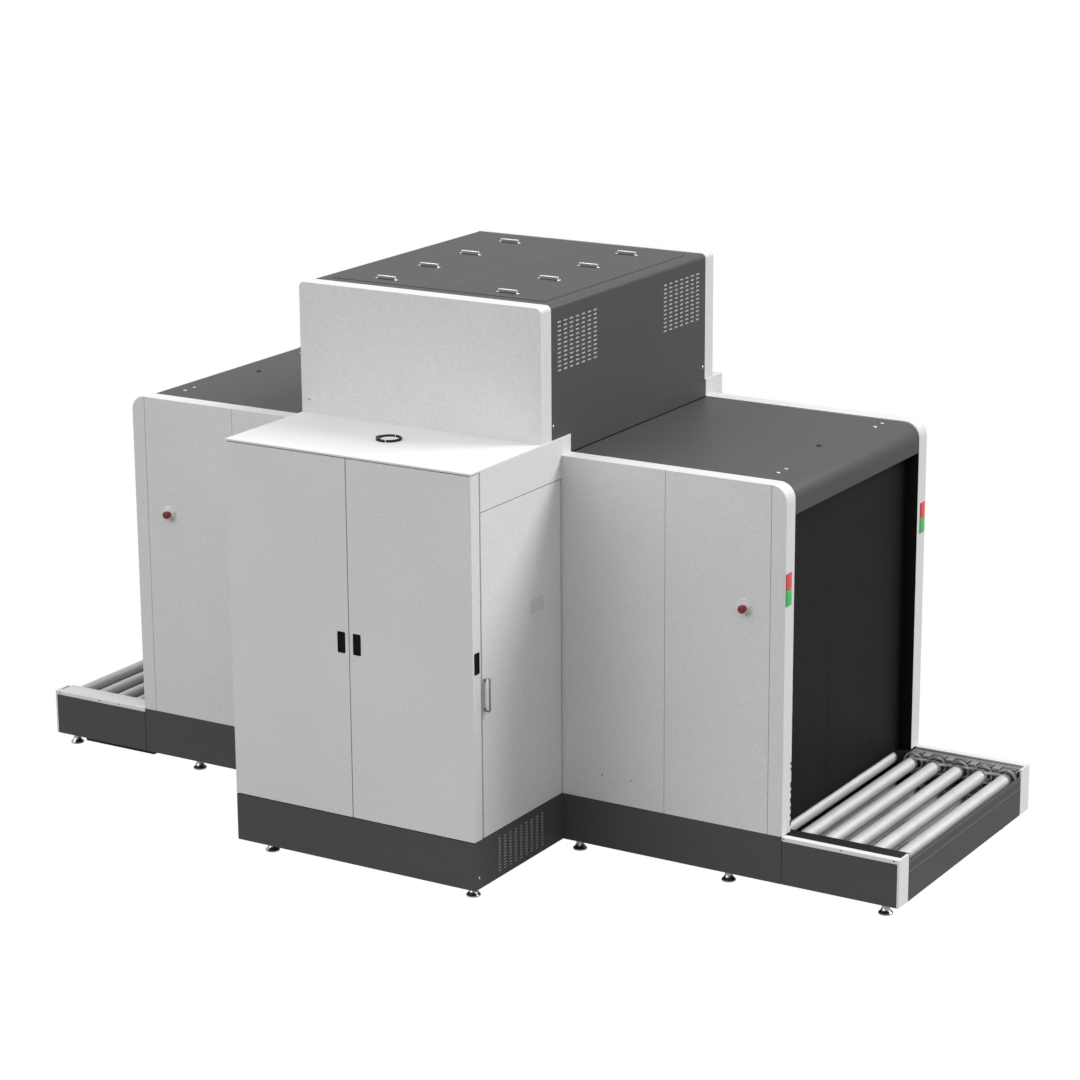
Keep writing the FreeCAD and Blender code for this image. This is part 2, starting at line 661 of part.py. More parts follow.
def base():
    """Beams under the whole machine, its skirts, rails, feet and the drive guard."""
    beam_span = ("-table_half + rail_end", "table_half - rail_end")
    inside_skirt = "-panel_out + skirt_sheet"
    front = box("beam_front", beam_span, (inside_skirt, f"{inside_skirt} + frame_beam"),
                ("skirt_low", "frame_high"))
    sill = box("sill_front", ("-hood_half", "hood_half"),
               (inside_skirt, "-panel_out + rail_wide"), ("frame_high", "skirt_high"))
    front_pair = fuse("front_beam", [front, sill])
    rear_pair = mirror("rear_beam", front_pair, V(0, 1, 0))
    crosses = []
    starts = ("-table_half + rail_end", "-hood_half - cross_wide / 2", "-body_half - cross_wide",
              "-cross_wide / 2", "body_half", "hood_half - cross_wide / 2",
              "table_half - rail_end - cross_wide")
    for index, x in enumerate(starts):
        crosses.append(box(f"cross_{index}", (x, f"{x} + cross_wide"), (inside_skirt, f"-({inside_skirt})"),
                           ("skirt_low", "frame_high")))
    publish("base_frame", fuse("base_frame", [front_pair, rear_pair] + crosses))

    face = ("-panel_out", "-panel_out + skirt_sheet")
    hood = box("skirt_hood", ("body_half", "hood_half - panel_seam / 2"), face, ("skirt_low", "skirt_high"))
    table = box("skirt_table", ("hood_half + panel_seam / 2", "table_half - rail_end"), face,
                ("skirt_low", "skirt_high - rail_high"))
    right = group("skirt_right", [hood, table])
    front_set = group("skirts_front", [right, mirror("skirt_left", right)])
    publish("side_skirts", group("side_skirts", [front_set, mirror("skirts_rear", front_set, V(0, 1, 0))]))

    rail = box("table_rail", ("hood_half", "table_half"), ("-panel_out", "-panel_out + rail_wide"),
               ("skirt_high - rail_high", "skirt_high"))
    post = box("rail_post", ("table_half - rail_end", "table_half"), ("-panel_out", "-panel_out + rail_post"),
               ("skirt_low", "skirt_high"))
    rail_right = fuse("table_rail_right", [rail, post])
    front_rails = group("rails_front", [rail_right, mirror("table_rail_left", rail_right)])
    publish("table_rails", group("table_rails", [front_rails, mirror("rails_rear", front_rails, V(0, 1, 0))]))

    ridges = ("end_skirt_high - end_ridge_low", "end_skirt_high - end_ridge_high")
    outline = [("table_half - end_skirt_thick", "skirt_low"), ("table_half", "skirt_low"),
               ("table_half", ridges[0]), ("table_half - end_step", f"{ridges[0]} + end_step"),
               ("table_half - end_step", ridges[1]), ("table_half - 2 * end_step", f"{ridges[1]} + end_step"),
               ("table_half - 2 * end_step", "end_skirt_high"),
               ("table_half - end_skirt_thick", "end_skirt_high")]
    end = extrusion("end_skirt", "y", outline, "-panel_out + rail_post", "panel_out - rail_post")
    publish("end_skirts", group("end_skirts", [end, mirror("end_skirt_left", end)]))

    foot = fuse("foot", [rod("foot_pad", "z", ("0", "0", "0"), "foot_radius", "foot_disc"),
                         hexagon_bar("foot_stem_bar", "z", ("0", "0", "0"), "foot_stem", "skirt_low")])
    feet = []
    for side, sign in SIDES:
        inner = f"body_half + foot_{side}_body_gap"
        outer = f"table_half - foot_{side}_end_gap"
        for row, y in (("front", "-foot_row"), ("rear", "foot_row")):
            for index, x in enumerate((inner, f"({inner} + {outer}) / 2", outer)):
                feet.append(copy(f"foot_{side}_{row}_{index}", foot, f"{sign}({x})", y))
        feet.append(copy(f"foot_cabinet_{side}", foot, f"{sign}(body_half - cabinet_foot_side_gap)",
                         "-front_reach + cabinet_foot_front_gap"))
    publish("levelling_feet", group("levelling_feet", feet))

    guard_near = "-panel_out + guard_inset"
    publish("drive_guard", box("drive_guard", ("-guard_start - guard_long", "-guard_start"),
                               (guard_near, f"{guard_near} + guard_wide"),
                               ("skirt_low - guard_drop", "skirt_low")))


def roller_place(sign, index):
    """Middle of one roller, counted inwards from the end of its table."""
    return f"{sign}(last_roller - {index} * roller_pitch)"


def roller_table():
    """Side plates with their punched six-sided holes, the fixed axles and the pan below."""
    span = ("-table_half + rail_end", "table_half - rail_end")
    flange = "skirt_high - bed_flange_drop"
    outline = [("-bed_half - bed_plate", "frame_high"), ("-bed_half", "frame_high"), ("-bed_half", flange),
               ("-panel_out + rail_wide", flange), ("-panel_out + rail_wide", f"{flange} - bed_plate"),
               ("-bed_half - bed_plate", f"{flange} - bed_plate")]
    plate = extrusion("bed_plate_front", "x", outline, *span)
    holes, axles = [], []
    for side, sign in SIDES:
        for index in range(int(SIZES["table_rollers"])):
            start = (roller_place(sign, index), "-bed_half - bed_plate - 1", "roller_z")
            holes.append(hexagon_bar(f"axle_hole_{side}_{index}", "y", start, "axle_radius", "bed_plate + 2"))
            start = (roller_place(sign, index), "-bed_half - bed_plate", "roller_z")
            axles.append(hexagon_bar(f"axle_{side}_{index}", "y", start, "axle_radius",
                                     "2 * (bed_half + bed_plate)"))
    front = cut("roller_bed_front", plate, holes)
    publish("roller_beds", group("roller_beds", [front, mirror("roller_bed_rear", front, V(0, 1, 0))]))
    publish("roller_axles", group("roller_axles", axles))
    publish("roller_pan", box("roller_pan", span, ("-bed_half", "bed_half"),
                              ("frame_high", "frame_high + pan_thick")))


def sprocket(name, lane):
    """A toothed disc for the roller chain, one straight-sided tooth to each link."""
    corners = []
    for index in range(2 * int(SIZES["sprocket_teeth"])):
        reach = "pitch_radius + tooth_rise" if index % 2 else "pitch_radius - tooth_root"
        angle = f"{index} * 180 / sprocket_teeth"
        corners.append((f"({reach}) * cos({angle})", f"roller_z + ({reach}) * sin({angle})"))
    return extrusion(name, "y", corners, lane, f"{lane} + sprocket_thick")


def rollers():
    """Driven tubes with two sprockets on the rear end, and the plain rollers inside the tunnel."""
    middle = ("0", "-tube_front", "roller_z")
    tube = rod("roller_tube", "y", middle, "roller_radius", "tube_front + tube_rear")
    hub = rod("sprocket_hub", "y", ("0", "tube_rear", "roller_z"), "hub_radius",
              "sprocket_gap + sprocket_space + sprocket_thick")
    discs = [sprocket(f"sprocket_{index}", f"sprocket_first + {index} * sprocket_space")
             for index in range(2)]
    whole = fuse("roller_with_sprockets", [tube, hub] + discs)
    bore = rod("roller_bore", "y", ("0", "-tube_front - 1", "roller_z"), "axle_radius + seat_clear",
               "tube_front + tube_rear + drive_room")
    complete = cut("driven_roller", whole, [bore])
    for side, sign in SIDES:
        for index in range(int(SIZES["table_rollers"])):
            name = f"roller_{side}_{index + 1}"
            publish(name, copy(name, complete, roller_place(sign, index)))

    still = rod("tunnel_roller", "y", ("0", "-bed_half", "roller_z"), "roller_radius", "2 * bed_half")
    first = value("last_roller - table_rollers * roller_pitch")
    count = int((first - value("roller_pitch")) // value("roller_pitch")) + 1
    inside = [copy("tunnel_roller_middle", still)]
    for index in range(count):
        for side, sign in SIDES:
            inside.append(copy(f"tunnel_roller_{side}_{index}", still,
                               roller_place(sign, SIZES["table_rollers"] + index)))
    publish("tunnel_rollers", group("tunnel_rollers", inside))


def curtain():
    """Lead-rubber strips hung from a rod under each lintel."""
    rod_z = "lintel_low + curtain_rod"
    rail = box("curtain_rail", ("curtain_x - curtain_rail_wide / 2", "curtain_x + curtain_rail_wide / 2"),
               ("-tunnel_half", "tunnel_half"), (f"{rod_z} + curtain_rod + seat_clear", "ceiling_low"))
    publish("curtain_rails", group("curtain_rails", [rail, mirror("curtain_rail_left", rail)]))
    sheet_span = ("curtain_x - curtain_thick / 2", "curtain_x + curtain_thick / 2")
    whole = box("curtain_sheet", sheet_span, ("-tunnel_half + curtain_gap", "tunnel_half - curtain_gap"),
                ("skirt_high - bed_flange_drop + curtain_gap", rod_z))
    slits = []
    strip = "(tunnel_wide - 2 * curtain_gap) / curtain_strips"
    for index in range(1, int(SIZES["curtain_strips"])):
        middle = f"-tunnel_half + curtain_gap + {index} * {strip}"
        slits.append(box(f"curtain_slit_{index}", ("curtain_x - curtain_thick", "curtain_x + curtain_thick"),
                         (f"{middle} - curtain_slit / 2", f"{middle} + curtain_slit / 2"),
                         ("roller_high", "lintel_low - curtain_hem")))
    tube = rod("curtain_tube", "y", ("curtain_x", "-tunnel_half + seat_clear", rod_z), "curtain_rod",
               "tunnel_wide - 2 * seat_clear")
    right = fuse("curtain", [cut("curtain_comb", whole, slits), tube])
    publish("curtain_right", right)
    publish("curtain_left", mirror("curtain_left", right))


def signals():
    """Red over green lamps on the panels' ends, and a stop button on each front panel."""
    lamps = {}
    for colour, low, high in (("red", "lamp_middle_high", "lamp_middle_high + lamp_high"),
                              ("green", "lamp_middle_high - lamp_high", "lamp_middle_high - 1")):
        middle = "-tunnel_half - panel_thick / 2 - lamp_shift"
        front = box(f"{colour}_lamp_front", ("hood_half", "hood_half + lamp_proud"),
                    (f"{middle} - lamp_wide / 2", f"{middle} + lamp_wide / 2"), (low, high))
        rear = mirror(f"{colour}_lamp_rear", front, V(0, 1, 0))
        pair = group(f"{colour}_lamp_pair", [front, rear])
        lamps[colour] = group(f"{colour}_lamps", [pair, mirror(f"{colour}_lamp_pair_left", pair)])
    publish("red_lamps", lamps["red"])
    publish("green_lamps", lamps["green"])

    collar_out = "-stop_plate_thick - stop_collar_long"
    base = turned("stop_base", [("0", "stop_bore_radius"), ("0", "stop_plate_radius"),
                                ("-stop_plate_thick", "stop_plate_radius"),
                                ("-stop_plate_thick", "stop_collar_radius"),
                                (collar_out, "stop_collar_radius"), (collar_out, "stop_bore_radius")],
                  "y", "stop_x", "-panel_out", "stop_high")
    publish("stop_bases", group("stop_bases", [base, mirror("stop_base_left", base)]))
    back = f"{collar_out} - stop_travel - stop_spare"
    stem = "stop_bore_radius - seat_clear"
    head = turned("stop_head", [("-stop_travel - stop_spare", "0"), ("-stop_travel - stop_spare", stem),
                                (back, stem), (back, "stop_head_radius"),
                                (f"{back} - stop_head_long + stop_bevel_long", "stop_head_radius"),
                                (f"{back} - stop_head_long", "stop_head_radius - stop_bevel_deep"),
                                (f"{back} - stop_head_long", "0")],
                  "y", "stop_x", "-panel_out", "stop_high")
    publish("stop_head_right", head)
    publish("stop_head_left", mirror("stop_head_left", head))


def chain_outline(reach):
    """Outline round two neighbouring sprockets; the chain's stiff links make it straight-sided."""
    wrap = SIZES["sprocket_teeth"] // 2 + 1
    corners = []
    for x, turn in (("0", 270), ("-roller_pitch", 90)):
        for index in range(wrap):
            angle = f"{turn} + ({index} + 0.5) * 180 / {wrap}"
            corners.append((f"{x} + ({reach}) * cos({angle})", f"roller_z + ({reach}) * sin({angle})"))
    return corners


def chains():
    """Chain loops from roller to roller in two staggered lanes, each a pair of link plates."""
    span = ("sprocket_first", "sprocket_first + chain_plate")
    outer = extrusion("chain_outside", "y", chain_outline("pitch_radius + chain_high / 2"), *span)
    inner = extrusion("chain_inside", "y", chain_outline("pitch_radius - chain_high / 2"), *span)
    plates = cut("chain_plates", outer, [inner])
    loops = []
    for side in ("right", "left"):
        for index in range(int(SIZES["table_rollers"]) - 1):
            x = f"last_roller - {index} * roller_pitch"
            if side == "left":
                x = f"roller_pitch - ({x})"
            lane = f"{index % 2} * sprocket_space"
            for place_name, offset in (("front", "-chain_plate - chain_clear"),
                                       ("rear", "sprocket_thick + chain_clear")):
                loops.append(copy(f"chain_{side}_{index}_{place_name}", plates, x, f"{lane} + {offset}"))
    publish("roller_chains", group("roller_chains", loops))


def check_document():
    """Stop if any object failed or any sub-part is empty or broken."""
    for thing in doc.Objects:
        if "Invalid" in thing.State or "Error" in thing.State:
            raise RuntimeError(f"{thing.Name} failed: {thing.State}")
    for node, thing in nodes.items():
        if thing.Shape.isNull() or not thing.Shape.isValid():
            raise RuntimeError(f"{node} has no valid shape")


def export():
    """Write one file for each sub-part."""
    os.makedirs("parts", exist_ok=True)
    for node, thing in nodes.items():
        thing.Shape.exportStep(f"parts/{node}.step")
        bounds = thing.Shape.BoundBox
        print(node, len(thing.Shape.Solids), "solids",
              [round(number, 1) for number in (bounds.XMin, bounds.YMin, bounds.ZMin,
                                               bounds.XMax, bounds.YMax, bounds.ZMax)])


fill_sheet()
side_panels()
hood_roofs()
middle_body()
cabinet()
front_doors()
side_doors()
upper_housing()
plinth_grilles()
base()
roller_table()
rollers()
curtain()
signals()
chains()
doc.recompute()
check_document()
export()
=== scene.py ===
import json
import math

import bmesh
import bpy
from bpy.props import FloatProperty, FloatVectorProperty, IntProperty, PointerProperty
from mathutils import Matrix, Vector


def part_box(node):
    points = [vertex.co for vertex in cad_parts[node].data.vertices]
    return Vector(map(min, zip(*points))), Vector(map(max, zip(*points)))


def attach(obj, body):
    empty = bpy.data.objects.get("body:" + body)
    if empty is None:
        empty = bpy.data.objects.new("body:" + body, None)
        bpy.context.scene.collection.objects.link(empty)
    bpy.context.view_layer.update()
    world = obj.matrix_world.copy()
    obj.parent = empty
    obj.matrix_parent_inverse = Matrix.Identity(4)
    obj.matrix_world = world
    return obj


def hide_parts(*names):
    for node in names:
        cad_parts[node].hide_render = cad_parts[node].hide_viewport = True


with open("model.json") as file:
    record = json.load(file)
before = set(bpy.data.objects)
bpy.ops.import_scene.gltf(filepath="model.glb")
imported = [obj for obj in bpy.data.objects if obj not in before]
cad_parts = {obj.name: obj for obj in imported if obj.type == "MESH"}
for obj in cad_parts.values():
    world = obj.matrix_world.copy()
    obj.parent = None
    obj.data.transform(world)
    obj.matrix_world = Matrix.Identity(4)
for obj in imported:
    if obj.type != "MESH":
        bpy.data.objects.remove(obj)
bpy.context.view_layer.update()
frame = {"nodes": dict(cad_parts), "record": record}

bl_info = {
    "name": "Baggage X-Ray Scanner",
    "version": (1, 0, 0),
    "blender": (4, 5, 0),
    "location": "View3D > Sidebar > Scanner",
    "description": "Finishes, small parts and studio for a tunnel x-ray scanner on its packed frame",
    "category": "Object",
}

MM = 0.001
MACHINE = "machine"
SIDES = (("right", 1), ("left", -1))


def corners(node):
    """Lowest and highest corner of a CAD node, as vectors."""
    low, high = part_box(node)
    return Vector(low), Vector(high)


PANEL_LOW, PANEL_HIGH = corners("front_panels")
REAR_LOW, REAR_HIGH = corners("rear_panels")
MIDDLE_Y = (PANEL_LOW.y + REAR_HIGH.y) / 2
BODY_HALF = corners("tunnel_walls")[1].x
COVER_HIGH = corners("upper_cover")[1]
UPPER_LOW, UPPER_HIGH = corners("upper_panels")
RAIL_LOW, RAIL_HIGH = corners("table_rails")
PLINTH_LOW, PLINTH_HIGH = corners("plinths")


class ScannerColours(bpy.types.PropertyGroup):
    """Paints, plastics and metals that a user might change."""

    panel: FloatVectorProperty(name="Panel coat", description="Powder coat of the light panels and doors",
                               subtype="COLOR", size=3, min=0, max=1, default=(0.67, 0.67, 0.67))
    edge: FloatVectorProperty(name="Edge coat", description="Paler coat of the cabinet's top and the rails",
                              subtype="COLOR", size=3, min=0, max=1, default=(0.72, 0.72, 0.72))
    dark: FloatVectorProperty(name="Roof coat", description="Dark coat of the roofs and the upper cover",
                              subtype="COLOR", size=3, min=0, max=1, default=(0.066, 0.066, 0.067))
    skirt: FloatVectorProperty(name="Skirt coat", description="Dark coat of skirts, plinth and base",
                               subtype="COLOR", size=3, min=0, max=1, default=(0.066, 0.066, 0.067))
    rubber: FloatVectorProperty(name="Curtain rubber", description="Lead rubber of the curtain strips",
                                subtype="COLOR", size=3, min=0, max=1, default=(0.006, 0.006, 0.006))
    red: FloatVectorProperty(name="Red lens", description="Lens of the red lamps",
                             subtype="COLOR", size=3, min=0, max=1, default=(0.62, 0.035, 0.045))
    green: FloatVectorProperty(name="Green lens", description="Lens of the green lamps",
                               subtype="COLOR", size=3, min=0, max=1, default=(0.03, 0.38, 0.075))
    stop: FloatVectorProperty(name="Stop button", description="Plastic of the stop buttons",
                              subtype="COLOR", size=3, min=0, max=1, default=(0.22, 0.003, 0.014))


class ScannerSizes(bpy.types.PropertyGroup):
    """Sizes of the small parts that a user might change."""

    slot_columns: IntProperty(name="Slot columns", description="Slots across each upper grille",
                              min=2, max=20, default=7)
    slot_rows: IntProperty(name="Slot rows", description="Slots up each upper grille",
                           min=2, max=30, default=12)
    plinth_columns: IntProperty(name="Plinth slot columns", description="Slots across each plinth grille",
                                min=2, max=20, default=9)
    plinth_rows: IntProperty(name="Plinth slot rows", description="Slots up each plinth grille",
                             min=2, max=30, default=12)
    screw_radius: FloatProperty(name="Screw radius", description="Radius of the panel screws' heads",
                                unit="LENGTH", default=0.009)
    strip_thick: FloatProperty(name="Strip thickness", description="Thickness of one curtain strip",
                               unit="LENGTH", default=0.003)
    chain_pitch: FloatProperty(name="Chain pitch", description="Distance between two pins of the chain",
                               unit="LENGTH", default=0.0127)
    edge_round: FloatProperty(name="Edge rounding", description="Rounding of the folded sheet edges",
                              unit="LENGTH", default=0.0025)


def colours():
    """The colours that the user has set."""
    return bpy.context.scene.scanner_colours


def sizes():
    """The sizes that the user has set."""
    return bpy.context.scene.scanner_sizes


class Wiring:
    """Adds and links the nodes of one shader tree."""

    def __init__(self, tree):
        self.tree = tree
        self.count = 0

    def node(self, kind, **settings):
        made = self.tree.nodes.new(kind)
        made.location = (180 * (self.count % 8), -220 * (self.count // 8))
        self.count += 1
        for name, setting in settings.items():
            setattr(made, name, setting)
        return made

    def link(self, start, end):
        self.tree.links.new(start, end)

    def maths(self, operation, first, second):
        made = self.node("ShaderNodeMath", operation=operation)
        for socket, value in zip(made.inputs, (first, second)):
            if isinstance(value, (int, float)):
                socket.default_value = value
            else:
                self.link(value, socket)
        return made.outputs[0]


def new_group(name, inputs, outputs):
    """An empty shader group with named sockets; gives its wiring, its inputs and its outputs."""
    tree = bpy.data.node_groups.new(name, "ShaderNodeTree")
    for label, kind in inputs:
        tree.interface.new_socket(name=label, in_out="INPUT", socket_type=kind)
    for label, kind in outputs:
        tree.interface.new_socket(name=label, in_out="OUTPUT", socket_type=kind)
    wiring = Wiring(tree)
    return wiring, wiring.node("NodeGroupInput").outputs, wiring.node("NodeGroupOutput").inputs


def noise(wiring, vector, scale, detail=2.0):
    """Noise over the object's own coordinates, with its scale wired or set."""
    made = wiring.node("ShaderNodeTexNoise")
    made.inputs["Detail"].default_value = detail
    if isinstance(scale, (int, float)):
        made.inputs["Scale"].default_value = scale
    else:
        wiring.link(scale, made.inputs["Scale"])
    wiring.link(vector, made.inputs["Vector"])
    return made.outputs["Fac"]


def shaded(wiring, colour, amount):
    """Multiply a colour by a varying amount."""
    mix = wiring.node("ShaderNodeMix", data_type="RGBA", blend_type="MULTIPLY")
    mix.inputs["Factor"].default_value = 1.0
    wiring.link(colour, mix.inputs["A"])
    wiring.link(amount, mix.inputs["B"])
    return mix.outputs["Result"]


def powder_coat_group():
    """Fine speckle, soft mottling and orange peel of a baked powder coat."""
    wiring, given, wanted = new_group(
        "Powder Coat", [("Colour", "NodeSocketColor"), ("Speckle", "NodeSocketFloat"),
                        ("Mottling", "NodeSocketFloat")],
        [("Colour", "NodeSocketColor"), ("Roughness", "NodeSocketFloat"), ("Height", "NodeSocketFloat")])
    place = wiring.node("ShaderNodeTexCoord").outputs["Object"]
    fine = noise(wiring, place, 420.0, 1.0)
    soft = noise(wiring, place, 75.0, 3.0)
    broad = noise(wiring, place, 1.3, 2.0)
    speckle = wiring.maths("MULTIPLY", wiring.maths("SUBTRACT", fine, 0.5), given["Speckle"])
    mottle = wiring.maths("MULTIPLY", wiring.maths("SUBTRACT", soft, 0.5), given["Mottling"])
    wide = wiring.maths("MULTIPLY", wiring.maths("SUBTRACT", broad, 0.5), 0.10)
    total = wiring.maths("ADD", wiring.maths("ADD", speckle, mottle), wiring.maths("ADD", wide, 1.0))
    wiring.link(shaded(wiring, given["Colour"], total), wanted["Colour"])
    wiring.link(wiring.maths("ADD", wiring.maths("MULTIPLY", soft, 0.25), 0.40), wanted["Roughness"])
    wiring.link(wiring.maths("ADD", wiring.maths("MULTIPLY", fine, 0.5), soft), wanted["Height"])
    return wiring.tree


def floor_dust_group():
    """Mask of pale dust that settles on ledges and near the floor."""
    wiring, given, wanted = new_group(
        "Floor Dust", [("Reach", "NodeSocketFloat")], [("Mask", "NodeSocketFloat")])
    geometry = wiring.node("ShaderNodeNewGeometry")
    normal = wiring.node("ShaderNodeSeparateXYZ")
    wiring.link(geometry.outputs["Normal"], normal.inputs[0])
    place = wiring.node("ShaderNodeTexCoord").outputs["Object"]
    height = wiring.node("ShaderNodeSeparateXYZ")
    wiring.link(place, height.inputs[0])
    low = wiring.node("ShaderNodeMapRange", clamp=True)
    wiring.link(height.outputs["Z"], low.inputs["Value"])
    wiring.link(given["Reach"], low.inputs["From Max"])
    low.inputs["To Min"].default_value = 1.0
    low.inputs["To Max"].default_value = 0.0
    ledge = wiring.maths("MAXIMUM", normal.outputs["Z"], 0.0)
    patches = noise(wiring, place, 9.0, 4.0)
    reach = wiring.maths("MAXIMUM", low.outputs["Result"], wiring.maths("MULTIPLY", ledge, 0.6))
    wiring.link(wiring.maths("MULTIPLY", reach, patches), wanted["Mask"])
    return wiring.tree


def brushed_group():
    """Long fine scratches along one axis, for roughness and relief of bright metal."""
    wiring, given, wanted = new_group(
        "Brushed Metal", [("Stretch", "NodeSocketVector"), ("Roughness", "NodeSocketFloat")],
        [("Roughness", "NodeSocketFloat"), ("Height", "NodeSocketFloat"), ("Tone", "NodeSocketColor")])
    place = wiring.node("ShaderNodeTexCoord").outputs["Object"]
    stretched = wiring.node("ShaderNodeVectorMath", operation="MULTIPLY")
    wiring.link(place, stretched.inputs[0])
    wiring.link(given["Stretch"], stretched.inputs[1])
    scratches = noise(wiring, stretched.outputs[0], 1.0, 3.0)
    stains = noise(wiring, place, 7.0, 4.0)
    uneven = wiring.maths("MULTIPLY", wiring.maths("SUBTRACT", scratches, 0.5), 0.30)
    worn = wiring.maths("MULTIPLY", wiring.maths("SUBTRACT", stains, 0.5), 0.22)
    wiring.link(wiring.maths("ADD", wiring.maths("ADD", uneven, worn), given["Roughness"]),
                wanted["Roughness"])
    wiring.link(scratches, wanted["Height"])
    tone = wiring.node("ShaderNodeMapRange")
    wiring.link(stains, tone.inputs["Value"])
    tone.inputs["To Min"].default_value = 0.86
    tone.inputs["To Max"].default_value = 1.06
    wiring.link(tone.outputs["Result"], wanted["Tone"])
    return wiring.tree


def grain_group():
    """Fine grain of moulded plastic and rubber, with soft wear."""
    wiring, given, wanted = new_group(
        "Moulded Grain", [("Colour", "NodeSocketColor"), ("Scale", "NodeSocketFloat"),
                          ("Wear", "NodeSocketFloat")],
        [("Colour", "NodeSocketColor"), ("Roughness", "NodeSocketFloat"), ("Height", "NodeSocketFloat")])
    place = wiring.node("ShaderNodeTexCoord").outputs["Object"]
    grain = noise(wiring, place, given["Scale"], 2.0)
    wear = noise(wiring, place, 6.0, 5.0)
    worn = wiring.maths("MULTIPLY", wiring.maths("SUBTRACT", wear, 0.5), given["Wear"])
    tone = wiring.maths("ADD", wiring.maths("MULTIPLY", worn, 1.6), 1.0)
    wiring.link(shaded(wiring, given["Colour"], tone), wanted["Colour"])
    wiring.link(wiring.maths("ADD", worn, 0.50), wanted["Roughness"])
    wiring.link(grain, wanted["Height"])
    return wiring.tree


def shared_group(name):
    """A shared shader group, built the first time that it is asked for."""
    makers = {"Powder Coat": powder_coat_group, "Floor Dust": floor_dust_group,
              "Brushed Metal": brushed_group, "Moulded Grain": grain_group}
    return bpy.data.node_groups.get(name) or makers[name]()


def bare_material(name):
    """A material with only a Principled shader; gives the material, its wiring and the shader."""
    material = bpy.data.materials.new(name)
    material.use_nodes = True
    wiring = Wiring(material.node_tree)
    return material, wiring, material.node_tree.nodes["Principled BSDF"]


def place_group(wiring, name, **values):
    """Put a shared group into a material and set its inputs."""
    made = wiring.node("ShaderNodeGroup")
    made.node_tree = shared_group(name)
    for label, value in values.items():
        made.inputs[label].default_value = value
    return made.outputs


def add_relief(wiring, shader, height, distance, strength):
    """Bump from a height, into the shader's normal."""
    bump = wiring.node("ShaderNodeBump")
    bump.inputs["Distance"].default_value = distance
    bump.inputs["Strength"].default_value = strength
    wiring.link(height, bump.inputs["Height"])
    wiring.link(bump.outputs["Normal"], shader.inputs["Normal"])


def rgba(colour):
    """A colour with full alpha."""
    return (*colour, 1.0)


def coat(name, colour, speckle, mottling, dust=0.0, reach=0.5):
    """Powder-coated sheet metal, with dust on ledges and low down where asked."""
    material, wiring, shader = bare_material(name)
    paint = place_group(wiring, "Powder Coat", Colour=rgba(colour), Speckle=speckle, Mottling=mottling)
    colour_out = paint["Colour"]
    if dust:
        mask = place_group(wiring, "Floor Dust", Reach=reach)["Mask"]
        mix = wiring.node("ShaderNodeMix", data_type="RGBA")
        wiring.link(wiring.maths("MULTIPLY", mask, dust), mix.inputs["Factor"])
        wiring.link(colour_out, mix.inputs["A"])
        mix.inputs["B"].default_value = (0.34, 0.33, 0.31, 1.0)
        colour_out = mix.outputs["Result"]
    wiring.link(colour_out, shader.inputs["Base Color"])
    wiring.link(paint["Roughness"], shader.inputs["Roughness"])
    shader.inputs["Specular IOR Level"].default_value = 0.30
    add_relief(wiring, shader, paint["Height"], 0.0006, 0.35)
    return material


def metal(name, colour, roughness, stretch, relief=0.0001, metallic=1.0):
    """Bright metal with scratches along one axis and faint stains."""
    material, wiring, shader = bare_material(name)
    brushed = place_group(wiring, "Brushed Metal", Stretch=stretch, Roughness=roughness)
    tone = wiring.node("ShaderNodeMix", data_type="RGBA", blend_type="MULTIPLY")
    tone.inputs["Factor"].default_value = 1.0
    tone.inputs["A"].default_value = rgba(colour)
    wiring.link(brushed["Tone"], tone.inputs["B"])
    wiring.link(tone.outputs["Result"], shader.inputs["Base Color"])
    wiring.link(brushed["Roughness"], shader.inputs["Roughness"])
    shader.inputs["Metallic"].default_value = metallic
    add_relief(wiring, shader, brushed["Height"], relief, 0.4)
    return material


def moulded(name, colour, scale, relief=0.0003, coat_weight=0.0, wear=0.3, specular=0.3):
    """Moulded plastic or rubber with a fine grain."""
    material, wiring, shader = bare_material(name)
    grain = place_group(wiring, "Moulded Grain", Colour=rgba(colour), Scale=scale, Wear=wear)
    wiring.link(grain["Colour"], shader.inputs["Base Color"])
    wiring.link(grain["Roughness"], shader.inputs["Roughness"])
    shader.inputs["Specular IOR Level"].default_value = specular
    shader.inputs["Coat Weight"].default_value = coat_weight
    shader.inputs["Coat Roughness"].default_value = 0.12
    add_relief(wiring, shader, grain["Height"], relief, 0.3)
    return material


def lens(name, colour, glow):
    """Tinted signal lens, ribbed inside and lit a little from behind."""
    material, wiring, shader = bare_material(name)
    place = wiring.node("ShaderNodeTexCoord").outputs["Object"]
    ribs = wiring.node("ShaderNodeTexWave", wave_type="BANDS", bands_direction="Z")
    ribs.inputs["Scale"].default_value = 45.0
    wiring.link(place, ribs.inputs["Vector"])
    tone = wiring.node("ShaderNodeMapRange")
    wiring.link(ribs.outputs["Fac"], tone.inputs["Value"])
    tone.inputs["To Min"].default_value = 0.82
    tone.inputs["To Max"].default_value = 1.08
    mix = wiring.node("ShaderNodeMix", data_type="RGBA", blend_type="MULTIPLY")
    mix.inputs["Factor"].default_value = 1.0
    mix.inputs["A"].default_value = rgba(colour)
    wiring.link(tone.outputs["Result"], mix.inputs["B"])
    wiring.link(mix.outputs["Result"], shader.inputs["Base Color"])
    wiring.link(mix.outputs["Result"], shader.inputs["Emission Color"])
    shader.inputs["Emission Strength"].default_value = glow
    shader.inputs["Roughness"].default_value = 0.16
    shader.inputs["Coat Weight"].default_value = 0.5
    return material


ALONG_ROLLER = (900.0, 14.0, 900.0)
ALONG_TABLE = (10.0, 700.0, 700.0)
ALL_WAYS = (260.0, 260.0, 260.0)


